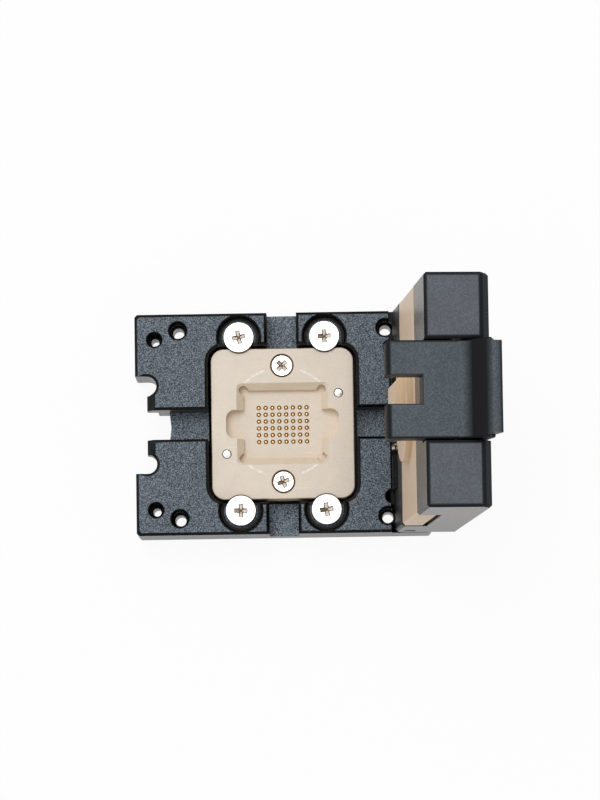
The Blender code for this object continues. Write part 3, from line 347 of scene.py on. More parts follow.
def machined_peek_and_shade(name, face, wall_shade, outwards, rubbed=False):
    """Beige plastic, browner on faces that don't look along the axis outwards as painted shade, scratched if
    rubbed.
    """
    material, tree, shader = new_material(name, face, 0.42, 0.0, 0.45)
    shader.inputs["Subsurface Weight"].default_value = 0.08
    shader.inputs["Subsurface Radius"].default_value = (1.0, 0.6, 0.35)
    shader.inputs["Subsurface Scale"].default_value = LIGHT_DEPTH
    coordinates = add_node(tree, "ShaderNodeTexCoord")
    place = coordinates.outputs["Object"]
    mottle = add_node(tree, "ShaderNodeTexNoise",
                      {"Scale": 1.0 / MOTTLE_SIZE, "Detail": 4.0, "Roughness": 0.6}, Vector=place)
    specks = add_node(tree, "ShaderNodeTexNoise", {"Scale": 1.0 / SPECK_SIZE, "Detail": 2.0}, Vector=place)
    both = add_node(tree, "ShaderNodeMath", {"operation": "ADD"},
                    _0=mottle.outputs["Fac"], _1=specks.outputs["Fac"])
    tint = add_node(tree, "ShaderNodeMapRange",
                    {"From Min": 0.7, "From Max": 1.3, "To Min": 0.94, "To Max": 1.06},
                    Value=both.outputs[0])
    base = add_node(tree, "ShaderNodeMix", {"data_type": "RGBA", 6: linear(face), 7: linear(wall_shade)})
    # Painted shade: faces that lean across the axis take the browner colour.
    facing = add_node(tree, "ShaderNodeSeparateXYZ", None, Vector=coordinates.outputs["Normal"])
    upright = add_node(tree, "ShaderNodeMath", {"operation": "ABSOLUTE"}, _0=facing.outputs[outwards])
    side = add_node(tree, "ShaderNodeMapRange",
                    {"From Min": 0.9, "From Max": 0.2, "To Min": 0.0, "To Max": 1.0},
                    Value=upright.outputs[0])
    tree.links.new(side.outputs[0], base.inputs[0])
    shade = add_node(tree, "ShaderNodeVectorMath", {"operation": "SCALE"},
                     _0=base.outputs[2], Scale=tint.outputs[0])
    colour = shade.outputs[0]
    if rubbed:
        colour = add_rub_marks(tree, place, facing.outputs["Z"], colour)
    tree.links.new(colour, shader.inputs["Base Color"])
    gloss = add_node(tree, "ShaderNodeMapRange",
                     {"From Min": 0.3, "From Max": 0.7, "To Min": 0.36, "To Max": 0.5},
                     Value=mottle.outputs["Fac"])
    tree.links.new(gloss.outputs[0], shader.inputs["Roughness"])
    bump = add_node(tree, "ShaderNodeBump", {"Strength": 0.15, "Distance": SPECK_DEPTH},
                    Height=specks.outputs["Fac"])
    tree.links.new(bump.outputs[0], shader.inputs["Normal"])
    return material


def band(tree, value, start, end):
    """A mask that goes from zero to one as the distance of a value from zero goes from start to end."""
    size = add_node(tree, "ShaderNodeMath", {"operation": "ABSOLUTE"}, _0=value)
    return add_node(tree, "ShaderNodeMapRange",
                    {"From Min": start, "From Max": end, "To Min": 0.0, "To Max": 1.0},
                    Value=size.outputs[0]).outputs[0]


def all_of(tree, mask, *others):
    """The product of several masks, which is one only where each of them is."""
    for other in others:
        mask = add_node(tree, "ShaderNodeMath", {"operation": "MULTIPLY"}, _0=mask, _1=other).outputs[0]
    return mask


def add_rub_marks(tree, place, up, colour):
    """The rubbed arcs of the boss, and faint hairlines across the top face."""
    split = add_node(tree, "ShaderNodeSeparateXYZ", None, Vector=place)
    moved = add_node(tree, "ShaderNodeMath", {"operation": "SUBTRACT", 1: RUB_CENTRE_Y},
                     _0=split.outputs["Y"])
    flat = add_node(tree, "ShaderNodeCombineXYZ", None, X=split.outputs["X"], Y=moved.outputs[0])
    reach = add_node(tree, "ShaderNodeVectorMath", {"operation": "LENGTH"}, _0=flat.outputs[0])
    off = add_node(tree, "ShaderNodeMath", {"operation": "SUBTRACT", 1: RUB_RADIUS},
                   _0=reach.outputs["Value"])
    ring = band(tree, off.outputs[0], RUB_HALF_WIDTH, 0.3 * RUB_HALF_WIDTH)
    beside = band(tree, split.outputs["X"], *RUB_ENDS_X)
    beyond = band(tree, split.outputs["Y"], *RUB_ENDS_Y)
    patches = add_node(tree, "ShaderNodeTexNoise", {"Scale": 1.0 / RUB_PATCH_SIZE, "Detail": 3.0},
                       Vector=place)
    patch = add_node(tree, "ShaderNodeMapRange",
                     {"From Min": 0.38, "From Max": 0.56, "To Min": 0.15, "To Max": 1.0},
                     Value=patches.outputs["Fac"])
    rubbed = all_of(tree, ring, beside, beyond, patch.outputs[0])
    stretched = add_node(tree, "ShaderNodeMapping",
                         {"Rotation": (0.0, 0.0, HAIR_TURN), "Scale": (0.22, 2.6, 1.0)}, Vector=place)
    hairs = add_node(tree, "ShaderNodeTexNoise",
                     {"Scale": 1.0 / HAIR_SIZE, "Detail": 2.0, "Distortion": 0.6},
                     Vector=stretched.outputs[0])
    hair = add_node(tree, "ShaderNodeMapRange",
                    {"From Min": 0.64, "From Max": 0.74, "To Min": 0.0, "To Max": 0.22},
                    Value=hairs.outputs["Fac"])
    worn = add_node(tree, "ShaderNodeMath", {"operation": "MAXIMUM"}, _0=rubbed, _1=hair.outputs[0])
    top = add_node(tree, "ShaderNodeMapRange",
                   {"From Min": 0.95, "From Max": 0.99, "To Min": 0.0, "To Max": 1.0}, Value=up)
    mixed = add_node(tree, "ShaderNodeMix", {"data_type": "RGBA", 7: linear("#fbf7ef")})
    tree.links.new(all_of(tree, worn.outputs[0], top.outputs[0]), mixed.inputs[0])
    tree.links.new(colour, mixed.inputs[6])
    return mixed.outputs[2]


body_peek = machined_peek_and_shade("machined_peek_body_with_painted_shade", "#e3d7c7", "#e6cfa9", "Z", rubbed=True)
plate_peek = machined_peek_and_shade("machined_peek_plate_with_painted_shade", "#dac1a6", "#ccae8b", "X")
# Painted shade inside drilled holes: brown in uneven patches.
HOLE_SHADE_PATCH_SIZE = 0.3 * MM
hole_shade_peek, tree, shader = new_material("peek_holes_painted_shade", "#a07e5b", 0.5, 0.0, 0.3)
hole_shade_patches = add_node(tree, "ShaderNodeTexNoise", {"Scale": 1.0 / HOLE_SHADE_PATCH_SIZE},
                Vector=add_node(tree, "ShaderNodeTexCoord").outputs["Object"])
hole_shade_colour = add_node(tree, "ShaderNodeMix", {"data_type": "RGBA", 6: linear("#94714f"), 7: linear("#b08d68")})
tree.links.new(hole_shade_patches.outputs["Fac"], hole_shade_colour.inputs[0])
tree.links.new(hole_shade_colour.outputs[2], shader.inputs["Base Color"])
print("plastics:", body_peek.name, plate_peek.name)

# %% [markdown]
# Plated and bare metals. The screws are bright nickel, which shows the white room. The steep sides
# of the cross are painted brown as painted shade, and the ramps at its ends pale as painted light.
# The contact pins are gold plated, with the flank below the tip painted darker as painted shade and
# the tip lighter as a painted highlight; the springs are drawn steel wire, and the dowels are ground
# steel. The real turned, drawn and ground lines are far finer than a pixel, so they are drawn as a
# small unevenness of colour and gloss, 0.1 to 0.25 mm wide.

# %% Bright metals
def bright_metal(name, colour, other, roughness, line_mm):
    """A plated metal with faint uneven colour and gloss."""
    material, tree, shader = new_material(name, colour, roughness, 1.0)
    place = add_node(tree, "ShaderNodeTexCoord").outputs["Object"]
    lines = add_node(tree, "ShaderNodeTexNoise", {"Scale": 1.0 / (line_mm * MM), "Detail": 3.0}, Vector=place)
    mix = add_node(tree, "ShaderNodeMix", {"data_type": "RGBA", 6: linear(colour), 7: linear(other)})
    amount = add_node(tree, "ShaderNodeMapRange", {"From Min": 0.35, "From Max": 0.65},
                      Value=lines.outputs["Fac"])
    tree.links.new(amount.outputs[0], mix.inputs[0])
    tree.links.new(mix.outputs[2], shader.inputs["Base Color"])
    gloss = add_node(tree, "ShaderNodeMapRange",
                     {"From Min": 0.3, "From Max": 0.7, "To Min": roughness * 0.7, "To Max": roughness * 1.3},
                     Value=lines.outputs["Fac"])
    tree.links.new(gloss.outputs[0], shader.inputs["Roughness"])
    return material


nickel = bright_metal("bright_nickel_plate", "#ebeae7", "#dfddd8", roughness=0.22, line_mm=0.25)
# Painted shade on the sides of the cross and of the head, and painted light on the ramps.
nickel_shade = bright_metal("nickel_painted_shade", "#5a4837", "#463628", roughness=0.35, line_mm=0.12)
nickel_ramp_light = bright_metal("nickel_ramp_painted_light", "#f2ebe0", "#cdbfab", roughness=0.35, line_mm=0.12)
# Painted highlight on the pin tips and painted shade on their flanks.
gold_tip_highlight = bright_metal("gold_tip_painted_highlight", "#ffdca6", "#f3c586", roughness=0.25, line_mm=0.1)
gold_flank_shade = bright_metal("gold_flank_painted_shade", "#c8985f", "#a97c48", roughness=0.35, line_mm=0.08)
wire_steel = bright_metal("drawn_spring_steel", "#c4bcae", "#938a7b", roughness=0.28, line_mm=0.2)
ground_steel = bright_metal("ground_dowel_steel", "#d8d6d1", "#b8b4ad", roughness=0.22, line_mm=0.15)
print("metals:", nickel.name, gold_tip_highlight.name, wire_steel.name, ground_steel.name)

# %% [markdown]
# Small helpers for modelling with operators, as by hand. An operator acts on everything that is
# selected, so each helper first selects one piece alone, and in edit mode picks faces or edges by a
# test on their place.

# %% Modelling helpers
def only(piece):
    """Select one object alone and make it active."""
    bpy.ops.object.select_all(action="DESELECT")
    piece.select_set(True)
    bpy.context.view_layer.objects.active = piece


def pick(piece, kind, test):
    """In edit mode, select only the faces or edges of a piece that pass a test."""
    bpy.ops.mesh.select_mode(type=kind)
    bpy.ops.mesh.select_all(action="DESELECT")
    mesh = bmesh.from_edit_mesh(piece.data)
    for part in (mesh.faces if kind == "FACE" else mesh.edges):
        if test(part):
            part.select_set(True)
    bmesh.update_edit_mesh(piece.data)


def grow(shift, scale, centre):
    """Extrude what is selected along a shift and then scale its end about a centre."""
    bpy.ops.mesh.extrude_region_move(TRANSFORM_OT_translate={"value": shift})
    bpy.ops.transform.resize(value=scale, center_override=centre)


def turned(name, profile, x=0.0, y=0.0, count=48):
    """A turned solid: a disc extruded upwards and scaled at each (radius, height) of its profile."""
    bpy.ops.object.select_all(action="DESELECT")
    radius, height = profile[0]
    bpy.ops.mesh.primitive_circle_add(vertices=count, radius=radius, fill_type="NGON")
    piece = bpy.context.object
    piece.name = name
    bpy.ops.object.mode_set(mode="EDIT")
    bpy.ops.mesh.select_all(action="SELECT")
    bpy.ops.transform.translate(value=(x, y, height))
    for new_radius, new_height in profile[1:]:
        scale = new_radius / radius
        grow((0.0, 0.0, new_height - height), (scale, scale, 1.0), (x, y, new_height))
        radius, height = new_radius, new_height
    bpy.ops.mesh.select_all(action="SELECT")
    bpy.ops.mesh.normals_make_consistent(inside=False)
    bpy.ops.object.mode_set(mode="OBJECT")
    return piece


def slab(name, half_x, half_y, low, high, corner, segments=8, x=0.0, y=0.0):
    """A block between two levels with rounded upright edges."""
    bpy.ops.object.select_all(action="DESELECT")
    bpy.ops.mesh.primitive_cube_add(size=1.0)
    piece = bpy.context.object
    piece.name = name
    bpy.ops.object.mode_set(mode="EDIT")
    bpy.ops.mesh.select_all(action="SELECT")
    bpy.ops.transform.resize(value=(2 * half_x, 2 * half_y, high - low))
    bpy.ops.transform.translate(value=(x, y, (low + high) / 2))
    if corner:
        pick(piece, "EDGE", lambda edge: abs(edge.verts[0].co.z - edge.verts[1].co.z) > 0.5 * (high - low))
        bpy.ops.mesh.bevel(offset=corner, segments=segments, affect="EDGES")
    bpy.ops.object.mode_set(mode="OBJECT")
    return piece


def apply_modifier(piece, kind, **settings):
    """Add a modifier with its settings and apply it at once."""
    modifier = piece.modifiers.new(kind.lower(), kind)
    for name, value in settings.items():
        setattr(modifier, name, value)
    only(piece)
    bpy.ops.object.modifier_apply(modifier=modifier.name)


def combine(piece, other, operation="DIFFERENCE"):
    """Cut another solid out of a piece, or join it, and remove the other."""
    apply_modifier(piece, "BOOLEAN", object=other, operation=operation, solver="EXACT", material_mode="INDEX")
    bpy.data.objects.remove(other, do_unlink=True)


def rows(piece, columns, lines, pitch):
    """Repeat a piece in a grid about the origin with two applied Array modifiers."""
    for axis, number in ((0, columns), (1, lines)):
        offset = [0.0, 0.0, 0.0]
        offset[axis] = pitch
        apply_modifier(piece, "ARRAY", count=number, use_relative_offset=False, use_constant_offset=True,
                       constant_offset_displace=offset)
    shift = mathutils.Matrix.Translation((-(columns - 1) * pitch / 2, -(lines - 1) * pitch / 2, 0.0))
    piece.data.transform(shift)


def dress(piece, *materials):
    """Give a piece its materials, in the order of its face numbers."""
    piece.data.materials.clear()
    for material in materials:
        piece.data.materials.append(material)


def put_on(piece, body, slot, *nodes):
    """Ride a finished piece on its body and hide the nodes it stands for; slot is not used."""
    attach(piece, body)
    if nodes:
        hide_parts(*nodes)


def placed(master, name, place, body, slot, *nodes):
    """A copy of a finished master with its own mesh, moved in its mesh to its place."""
    piece = bpy.data.objects.new(name, master.data.copy())
    piece.data.transform(place)
    bpy.context.scene.collection.objects.link(piece)
    put_on(piece, body, slot, *nodes)
    return piece


def about_z(angle):
    """A turn about Z by an angle in degrees."""
    return mathutils.Matrix.Rotation(math.radians(angle), 4, "Z")


def smooth(piece, angle=30.0):
    """Shade round faces smooth and keep the edges between flat ones."""
    only(piece)
    bpy.ops.object.shade_smooth_by_angle(angle=math.radians(angle))


print("helpers ready")

# %% [markdown]
# The base frame, the lid frame and the latch are milled aluminium. They could be modelled again, but
# their CAD nodes already have the shape that a cutter leaves. Such a node is loose triangles. A copy
# of it, with its doubles merged and its flat faces joined up again, can be shaded smooth across round
# walls, and every slanted face of it, which on these pieces is a broken edge, gets the painted shade
# of the edges. The copy stands for its node and stays exactly where the node is. Floors of holes and
# pockets get the same dark painted shade, so the heights whose faces keep their own finish are
# listed, with the rims of painted shade that are inset round them.
#
# The latch's slope under the thumb lip is a face and no broken edge, so it gets its face finish
# back, whose painted shade darkens it as it leans. Its foot is rounded by a concave fillet, as a
# ball cutter leaves it: a block with a round hollow cut out of it is joined to the latch.

# %% Milled pieces
LEAN = math.radians(5.5)
HINGE = mathutils.Vector((14.6 * MM, 0.0, 8.65 * MM))
ALONG_Y = mathutils.Matrix.Rotation(math.radians(-90), 4, "X")
IN_BASE = mathutils.Matrix.Identity(4)
IN_LID = mathutils.Matrix.Translation(HINGE) @ mathutils.Matrix.Rotation(LEAN, 4, "Y")
SLANTED = 0.95


def milled_copy(node, name, materials, own_axes, levels):
    """A cleaned copy of a CAD node. Its slanted faces and floors turn to the second material. Levels
    gives each height, in mm, that keeps the first, with its rims as (width in mm, material index)."""
    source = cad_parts[node]
    piece = bpy.data.objects.new(name, source.data.copy())
    bpy.context.scene.collection.objects.link(piece)
    dress(piece, *materials)
    only(piece)
    bpy.ops.object.mode_set(mode="EDIT")
    bpy.ops.mesh.select_all(action="SELECT")
    bpy.ops.mesh.remove_doubles(threshold=0.001 * MM)
    bpy.ops.mesh.dissolve_limited(angle_limit=math.radians(0.5))
    to_own = own_axes.inverted()

    def slanted(face):
        return max(abs(value) for value in to_own.to_3x3() @ face.normal) < SLANTED

    def level_of(face):
        if (to_own.to_3x3() @ face.normal).z < 0.99:
            return None
        height = (to_own @ face.verts[0].co).z
        near = [level for level in levels if abs(height - level * MM) < 0.05 * MM]
        return near[0] if near else "low"

    pick(piece, "FACE", lambda face: slanted(face) or level_of(face) == "low")
    piece.active_material_index = 1
    bpy.ops.object.material_slot_assign()
    for level, rims in levels.items():
        for width, index in rims:
            pick(piece, "FACE", lambda face: level_of(face) == level and face.material_index == 0)
            bpy.ops.mesh.inset(thickness=width * MM, depth=0.0, use_select_inset=True)
            piece.active_material_index = index
            bpy.ops.object.material_slot_assign()
    bpy.ops.object.mode_set(mode="OBJECT")
    smooth(piece, 28.0)
    print(name, "faces:", len(piece.data.polygons))
    return piece


NO_RIM = ()
# Rims of painted shade, inset round the faces at a listed height.
BLACK_SHADE_RIM = ((0.08, 1),)
SEAT_SHADE_RIM = ((0.36, 1),)
SOFT_SHADE_RIM = ((0.12, 2),)
THUMB_SLOPE_FOOT = 33.505 * MM
FILLET_RADIUS = 2.003 * MM
FILLET_AXIS = (2.07 * MM, 0.0, 35.5 * MM)
FILLET_HALF = (0.915 * MM, 5.24 * MM)
FILLET_LEVELS = (33.3 * MM, 34.3 * MM)
FILLET_X = 2.985 * MM
HOLLOW_REACH = 6.0 * MM

milled_base = milled_copy("base_frame", "milled_base", (base_face, black_edge_shade), IN_BASE,
                          {7.0: BLACK_SHADE_RIM, 3.2: NO_RIM, 5.85: SEAT_SHADE_RIM})
put_on(milled_base, "base", "black_anodised", "base_frame")
milled_lid = milled_copy("lid_frame", "milled_lid", (lid_face, lid_edge_shade, soft_rim_shade), IN_LID,
                         {33.5: SOFT_SHADE_RIM})
put_on(milled_lid, "lid", "lid_anodised", "lid_frame")
milled_latch = milled_copy("latch", "milled_latch", (latch_face, lid_edge_shade, soft_rim_shade), IN_LID,
                           {33.5: SOFT_SHADE_RIM, 36.4: NO_RIM})
bpy.ops.object.mode_set(mode="EDIT")
pick(milled_latch, "FACE", lambda face: face.normal.z > 0.3
     and (IN_LID.inverted() @ face.calc_center_median()).z > THUMB_SLOPE_FOOT)
milled_latch.active_material_index = 0
bpy.ops.object.material_slot_assign()
bpy.ops.object.mode_set(mode="OBJECT")
fillet = slab("thumb_fillet", *FILLET_HALF, *FILLET_LEVELS, 0.0, x=FILLET_X)
hollow = turned("fillet_hollow", [(FILLET_RADIUS, -HOLLOW_REACH), (FILLET_RADIUS, HOLLOW_REACH)], count=96)
hollow.data.transform(mathutils.Matrix.Translation(FILLET_AXIS) @ ALONG_Y)
combine(fillet, hollow)
fillet.data.transform(IN_LID)
combine(milled_latch, fillet, "UNION")
smooth(milled_latch, 28.0)
put_on(milled_latch, "catch", "lid_anodised", "latch")

# %% [markdown]
# The pressure plate is PEEK too. Its copy gets a small bevel on every sharp edge, because plastic
# edges are scraped round after milling and catch the light. A bevel in the shader would look the
# same from here, but would not round the mesh.

# %% Pressure plate
SCRAPED_EDGE = 0.05 * MM
pressure_skin = milled_copy("pressure_plate", "milled_pressure_plate", (plate_peek, plate_peek), IN_LID, {})
apply_modifier(pressure_skin, "BEVEL", width=SCRAPED_EDGE, segments=2, limit_method="ANGLE",
               angle_limit=math.radians(50), material=0)
smooth(pressure_skin, 40.0)
put_on(pressure_skin, "pressure", "peek", "pressure_plate")
print("pressure plate faces:", len(pressure_skin.data.polygons))

# %% [markdown]
# The pin body is milled from one PEEK plate. It starts as a block with round corners on a smaller
# foot. Cutters then take out the package pocket with its sloped lead-in, the finger notches, the
# four drilled corner reliefs, the screw scallops and the 48 pin holes, in the order in which the
# real one is machined. Its sizes are those of the CAD node that it stands for. A copy of the node
# would do for the shape, but a cutter can give each drilled hole its own brown painted shade as it cuts.

# %% Pin body
BODY_HALF = (8.3 * MM, 8.8 * MM)
FOOT_HALF = (7.4 * MM, 7.9 * MM)
FOOT_LEVELS = (1.3 * MM, 2.4 * MM)
CORNER = 1.5 * MM
BODY_LEDGE = 2.1 * MM
BODY_TOP = 6.3 * MM
RIM_BEVEL = 0.13 * MM
ABOVE = 1.0 * MM
POCKET_HALF = (4.575 * MM, 4.0 * MM)
POCKET_FLOOR = 4.75 * MM
POCKET_CORNER = 0.45 * MM
LEAD_IN = 0.78 * MM
LEAD_IN_DEPTH = 0.85 * MM
FINGER_HALF = (6.6 * MM, 1.7 * MM)
RELIEF_PLACE = (4.675 * MM, 4.1 * MM)
RELIEF_RADIUS = 0.52 * MM
CLAMP_PLACES_MM = ((-5.0, 10.15), (5.0, 10.15), (-5.0, -10.15), (5.0, -10.15))
SCALLOP_RADIUS = 1.91 * MM
SCALLOP_FLOOR = 5.85 * MM
PLATE_SCREW_Y = 6.8 * MM
SCREW_BORE = 0.7 * MM
SINK_RADIUS = 1.39 * MM
LOCATING_PLACE = (6.55 * MM, 3.5 * MM)
DOWEL_BORE = 0.55 * MM
PIN_PITCH = 0.8 * MM
PIN_BORE = 0.26 * MM


def drill(name, profile, x=0.0, y=0.0, count=48):
    """A round cutter whose faces carry the brown painted shade of a drilled hole."""
    cutter = turned(name, profile, x, y, count)
    dress(cutter, body_peek, hole_shade_peek)
    bpy.ops.object.mode_set(mode="EDIT")
    bpy.ops.mesh.select_all(action="SELECT")
    cutter.active_material_index = 1
    bpy.ops.object.material_slot_assign()
    bpy.ops.object.mode_set(mode="OBJECT")
    return cutter


body = slab("machined_pin_body", *BODY_HALF, BODY_LEDGE, BODY_TOP, CORNER, 10)
bpy.ops.object.mode_set(mode="EDIT")
pick(body, "EDGE", lambda edge: min(vert.co.z for vert in edge.verts) > BODY_TOP - 0.01 * MM)
bpy.ops.mesh.bevel(offset=RIM_BEVEL, segments=3, affect="EDGES")
bpy.ops.object.mode_set(mode="OBJECT")
combine(body, slab("foot", *FOOT_HALF, *FOOT_LEVELS, CORNER, 6), "UNION")

pocket = slab("pocket", *POCKET_HALF, POCKET_FLOOR, BODY_TOP - LEAD_IN_DEPTH, POCKET_CORNER, 6)
bpy.ops.object.mode_set(mode="EDIT")
pick(pocket, "FACE", lambda face: face.normal.z > 0.9)
mouth_rise = LEAD_IN_DEPTH + ABOVE
mouth = [1.0 + LEAD_IN * mouth_rise / LEAD_IN_DEPTH / half for half in POCKET_HALF]
grow((0.0, 0.0, mouth_rise), (*mouth, 1.0), (0.0, 0.0, BODY_TOP + ABOVE))
bpy.ops.object.mode_set(mode="OBJECT")
combine(body, pocket)
combine(body, slab("fingers", *FINGER_HALF, POCKET_FLOOR, BODY_TOP + ABOVE, 1.0 * MM, 8))
square = RELIEF_RADIUS / math.sqrt(2.0)
relief_top = BODY_TOP - LEAD_IN_DEPTH / 3
for side_x in (-1, 1):
    for side_y in (-1, 1):
        x = side_x * RELIEF_PLACE[0]
        y = side_y * RELIEF_PLACE[1]
        for radius, centre_x, centre_y, count in (
            (RELIEF_RADIUS, x, y, 32),
            (square, x - side_x * square, y, 4),
            (square, x, y - side_y * square, 4),
        ):
            relief = [(radius, POCKET_FLOOR), (radius, relief_top)]
            combine(body, turned("relief", relief, centre_x, centre_y, count))
scallop = [(SCALLOP_RADIUS, SCALLOP_FLOOR), (SCALLOP_RADIUS, BODY_TOP + ABOVE)]
for x, y in CLAMP_PLACES_MM:
    combine(body, turned("scallop", scallop, x * MM, y * MM, 64))
dress(body, body_peek, hole_shade_peek)
sink = [
    (SCREW_BORE, 0.0), (SCREW_BORE, 5.5 * MM), (SINK_RADIUS, 5.9 * MM), (SINK_RADIUS, BODY_TOP + ABOVE),
]
dowel_bore = [(DOWEL_BORE, 0.0), (DOWEL_BORE, BODY_TOP + ABOVE)]
for side in (-1, 1):
    combine(body, drill("countersink", sink, 0.0, side * PLATE_SCREW_Y, 64))
    combine(body, drill("dowel_hole", dowel_bore, side * LOCATING_PLACE[0], side * LOCATING_PLACE[1], 40))
pin_bore = [(PIN_BORE, 0.0), (PIN_BORE, 4.72 * MM), (PIN_BORE + 0.02 * MM, 4.80 * MM)]
pin_hole = drill("pin_hole", pin_bore, count=16)
rows(pin_hole, 8, 6, PIN_PITCH)
combine(body, pin_hole)
smooth(body)
put_on(body, "base", "peek", "pin_body")
print("pin body faces:", len(body.data.polygons))

# %% [markdown]
# Under the pin body lies the contact plate, a plain PEEK plate that holds the lower ends of the
# pins, with the threads of the two small screws. It shows only from below, so a slab with bevelled
# edges and four plain bores is enough, and no thread is cut.

# %% Contact plate
PLATE_THICKNESS = 1.2 * MM
PLATE_BEVEL = 0.08 * MM
BLIND_LEVELS = (0.3 * MM, 2.0 * MM)

contact_plate = slab("machined_contact_plate", *FOOT_HALF, 0.0, PLATE_THICKNESS, CORNER, 8)
bpy.ops.object.mode_set(mode="EDIT")
pick(contact_plate, "EDGE", lambda edge: abs(edge.verts[0].co.z - edge.verts[1].co.z) < 0.01 * MM)
bpy.ops.mesh.bevel(offset=PLATE_BEVEL, segments=2, affect="EDGES")
bpy.ops.object.mode_set(mode="OBJECT")
thread = [(SCREW_BORE, level) for level in BLIND_LEVELS]
dowel_seat = [(DOWEL_BORE, level) for level in BLIND_LEVELS]
for side in (-1, 1):
    combine(contact_plate, turned("thread", thread, 0.0, side * PLATE_SCREW_Y, 32))
    x = side * LOCATING_PLACE[0]
    y = side * LOCATING_PLACE[1]
    combine(contact_plate, turned("dowel_seat", dowel_seat, x, y, 32))
dress(contact_plate, body_peek)
smooth(contact_plate)
put_on(contact_plate, "base", "peek", "contact_plate")
print("contact plate faces:", len(contact_plate.data.polygons))

# %% [markdown]
# A contact pin is a gold plated spring probe. Only the end of its plunger shows, a collar 0.5 mm
# wide with a pointed tip just below the pocket floor. One is turned and repeated 8 by 6 times at the
# 0.8 mm pitch of the package's balls. Two Array modifiers do that in one mesh, which is lighter than
# 48 pieces. The flank is painted darker than the tip, as painted shade, and the tip as a painted highlight.

# %% Contact pins
PIN_STEM = 0.18 * MM
PIN_COLLAR = 0.25 * MM
PIN_TIP = 4.72 * MM
GOLD_HIGHLIGHT_FROM = 4.695 * MM

pins = turned("gold_contact_pins", [
    (PIN_STEM, 1.21 * MM), (PIN_STEM, 4.40 * MM), (PIN_COLLAR, 4.45 * MM), (PIN_COLLAR, 4.62 * MM),
    (0.11 * MM, 4.69 * MM), (0.06 * MM, PIN_TIP),
], count=12)
dress(pins, gold_flank_shade, gold_tip_highlight)
bpy.ops.object.mode_set(mode="EDIT")
pick(pins, "FACE", lambda face: face.calc_center_median().z > GOLD_HIGHLIGHT_FROM)
pins.active_material_index = 1
bpy.ops.object.material_slot_assign()
bpy.ops.object.mode_set(mode="OBJECT")
rows(pins, 8, 6, PIN_PITCH)
smooth(pins, 50.0)
put_on(pins, "base", "gold_plate")
print("contact pins faces:", len(pins.data.polygons))

# %% [markdown]
# Three kinds of cross screw. The head is turned with a rounded rim, and the cross is cut by two
# tapered bars at right angles, whose ends run down as ramps. The cutters carry the face numbers of
# the recess colours, so the steep sides come out brown as painted shade and the ramps pale as painted
# light. Each kind is made once, and its copies are turned by the angles at which the real ones were
# left. The cross sizes are those of a clamp screw, and the smaller screws have a smaller cross. A
# painted cross would be quicker, but it would stay flat when the lid turns and the light comes from
# another side.

# %% Cross screws
CROSS_LENGTH = 1.58 * MM
CROSS_WIDTH = 0.55 * MM
CROSS_STEP = 0.12 * MM
CROSS_DEPTH = 0.42 * MM
ABOVE_HEAD = 0.3 * MM
CLAMP_HEAD_TOP = 6.75 * MM
PLATE_HEAD_TOP = 6.2 * MM


def cross_bar(size, angle):
    """One bar of a cross cutter: a narrow side in painted shade round its mouth, then ramps in painted light
    down to a pit in painted shade.
    """
    length = CROSS_LENGTH * size
    width = CROSS_WIDTH * size
    step = CROSS_STEP * size
    depth = CROSS_DEPTH * size
    bar = slab("cross_bar", length / 2, width / 2, -step, 0.0, 0.0)
    dress(bar, nickel, nickel_shade, nickel_ramp_light)
    bpy.ops.object.mode_set(mode="EDIT")
    pick(bar, "FACE", lambda face: face.normal.z < -0.9)
    bpy.ops.transform.resize(value=(0.9, 0.7, 1.0), center_override=(0.0, 0.0, -step))
    grow((0.0, 0.0, step - depth), (0.25, 0.7, 1.0), (0.0, 0.0, -depth))
    pick(bar, "FACE", lambda face: face.normal.z > 0.9)
    grow((0.0, 0.0, ABOVE_HEAD), (1.0, 1.0, 1.0), (0.0, 0.0, 0.0))
    bpy.ops.mesh.select_all(action="SELECT")
    bpy.ops.mesh.normals_make_consistent(inside=False)
    bar.active_material_index = 1
    bpy.ops.object.material_slot_assign()
    pick(bar, "FACE", lambda face: abs(face.normal.x) > 0.3 and -depth < face.calc_center_median().z < -step)
    bar.active_material_index = 2
    bpy.ops.object.material_slot_assign()
    bpy.ops.object.mode_set(mode="OBJECT")
    bar.data.transform(about_z(angle))
    return bar


def cross_screw(name, profile, size, count=64):
    """A turned screw whose head's top is at level zero, with a cross recess and a duller side in painted
    shade.
    """
    screw = turned(name, profile, count=count)
    dress(screw, nickel, nickel_shade, nickel_ramp_light)
    bpy.ops.object.mode_set(mode="EDIT")
    pick(screw, "FACE", lambda face: abs(face.normal.z) < 0.3)
    screw.active_material_index = 1
    bpy.ops.object.material_slot_assign()
    bpy.ops.object.mode_set(mode="OBJECT")
    for angle in (0.0, 90.0):
        combine(screw, cross_bar(size, angle))
    smooth(screw, 15.0)
    return screw


def pan_head(radius, height, shank, length):
    """The profile of a wide flat head with a rounded rim, over its shank."""
    soft = 0.07 * MM
    return [
        (shank - soft, -length), (shank, soft - length), (shank, -height), (radius - soft / 2, -height),
        (radius, soft / 2 - height), (radius, -soft), (radius - 0.3 * soft, -0.3 * soft),
        (radius - soft, 0.0),
    ]


clamp_profile = pan_head(radius=1.76 * MM, height=0.8 * MM, shank=0.7 * MM, length=5.55 * MM)
clamp_master = cross_screw("clamp_master", clamp_profile, 1.0)
for number, angle in enumerate((12.0, 3.0, -1.0, 8.0), 1):
    x, y = CLAMP_PLACES_MM[number - 1]
    place = mathutils.Matrix.Translation((x * MM, y * MM, CLAMP_HEAD_TOP)) @ about_z(angle)
    placed(clamp_master, f"bright_clamp_screw_{number}", place, "base", "nickel_plate",
           f"clamp_screw_{number}")

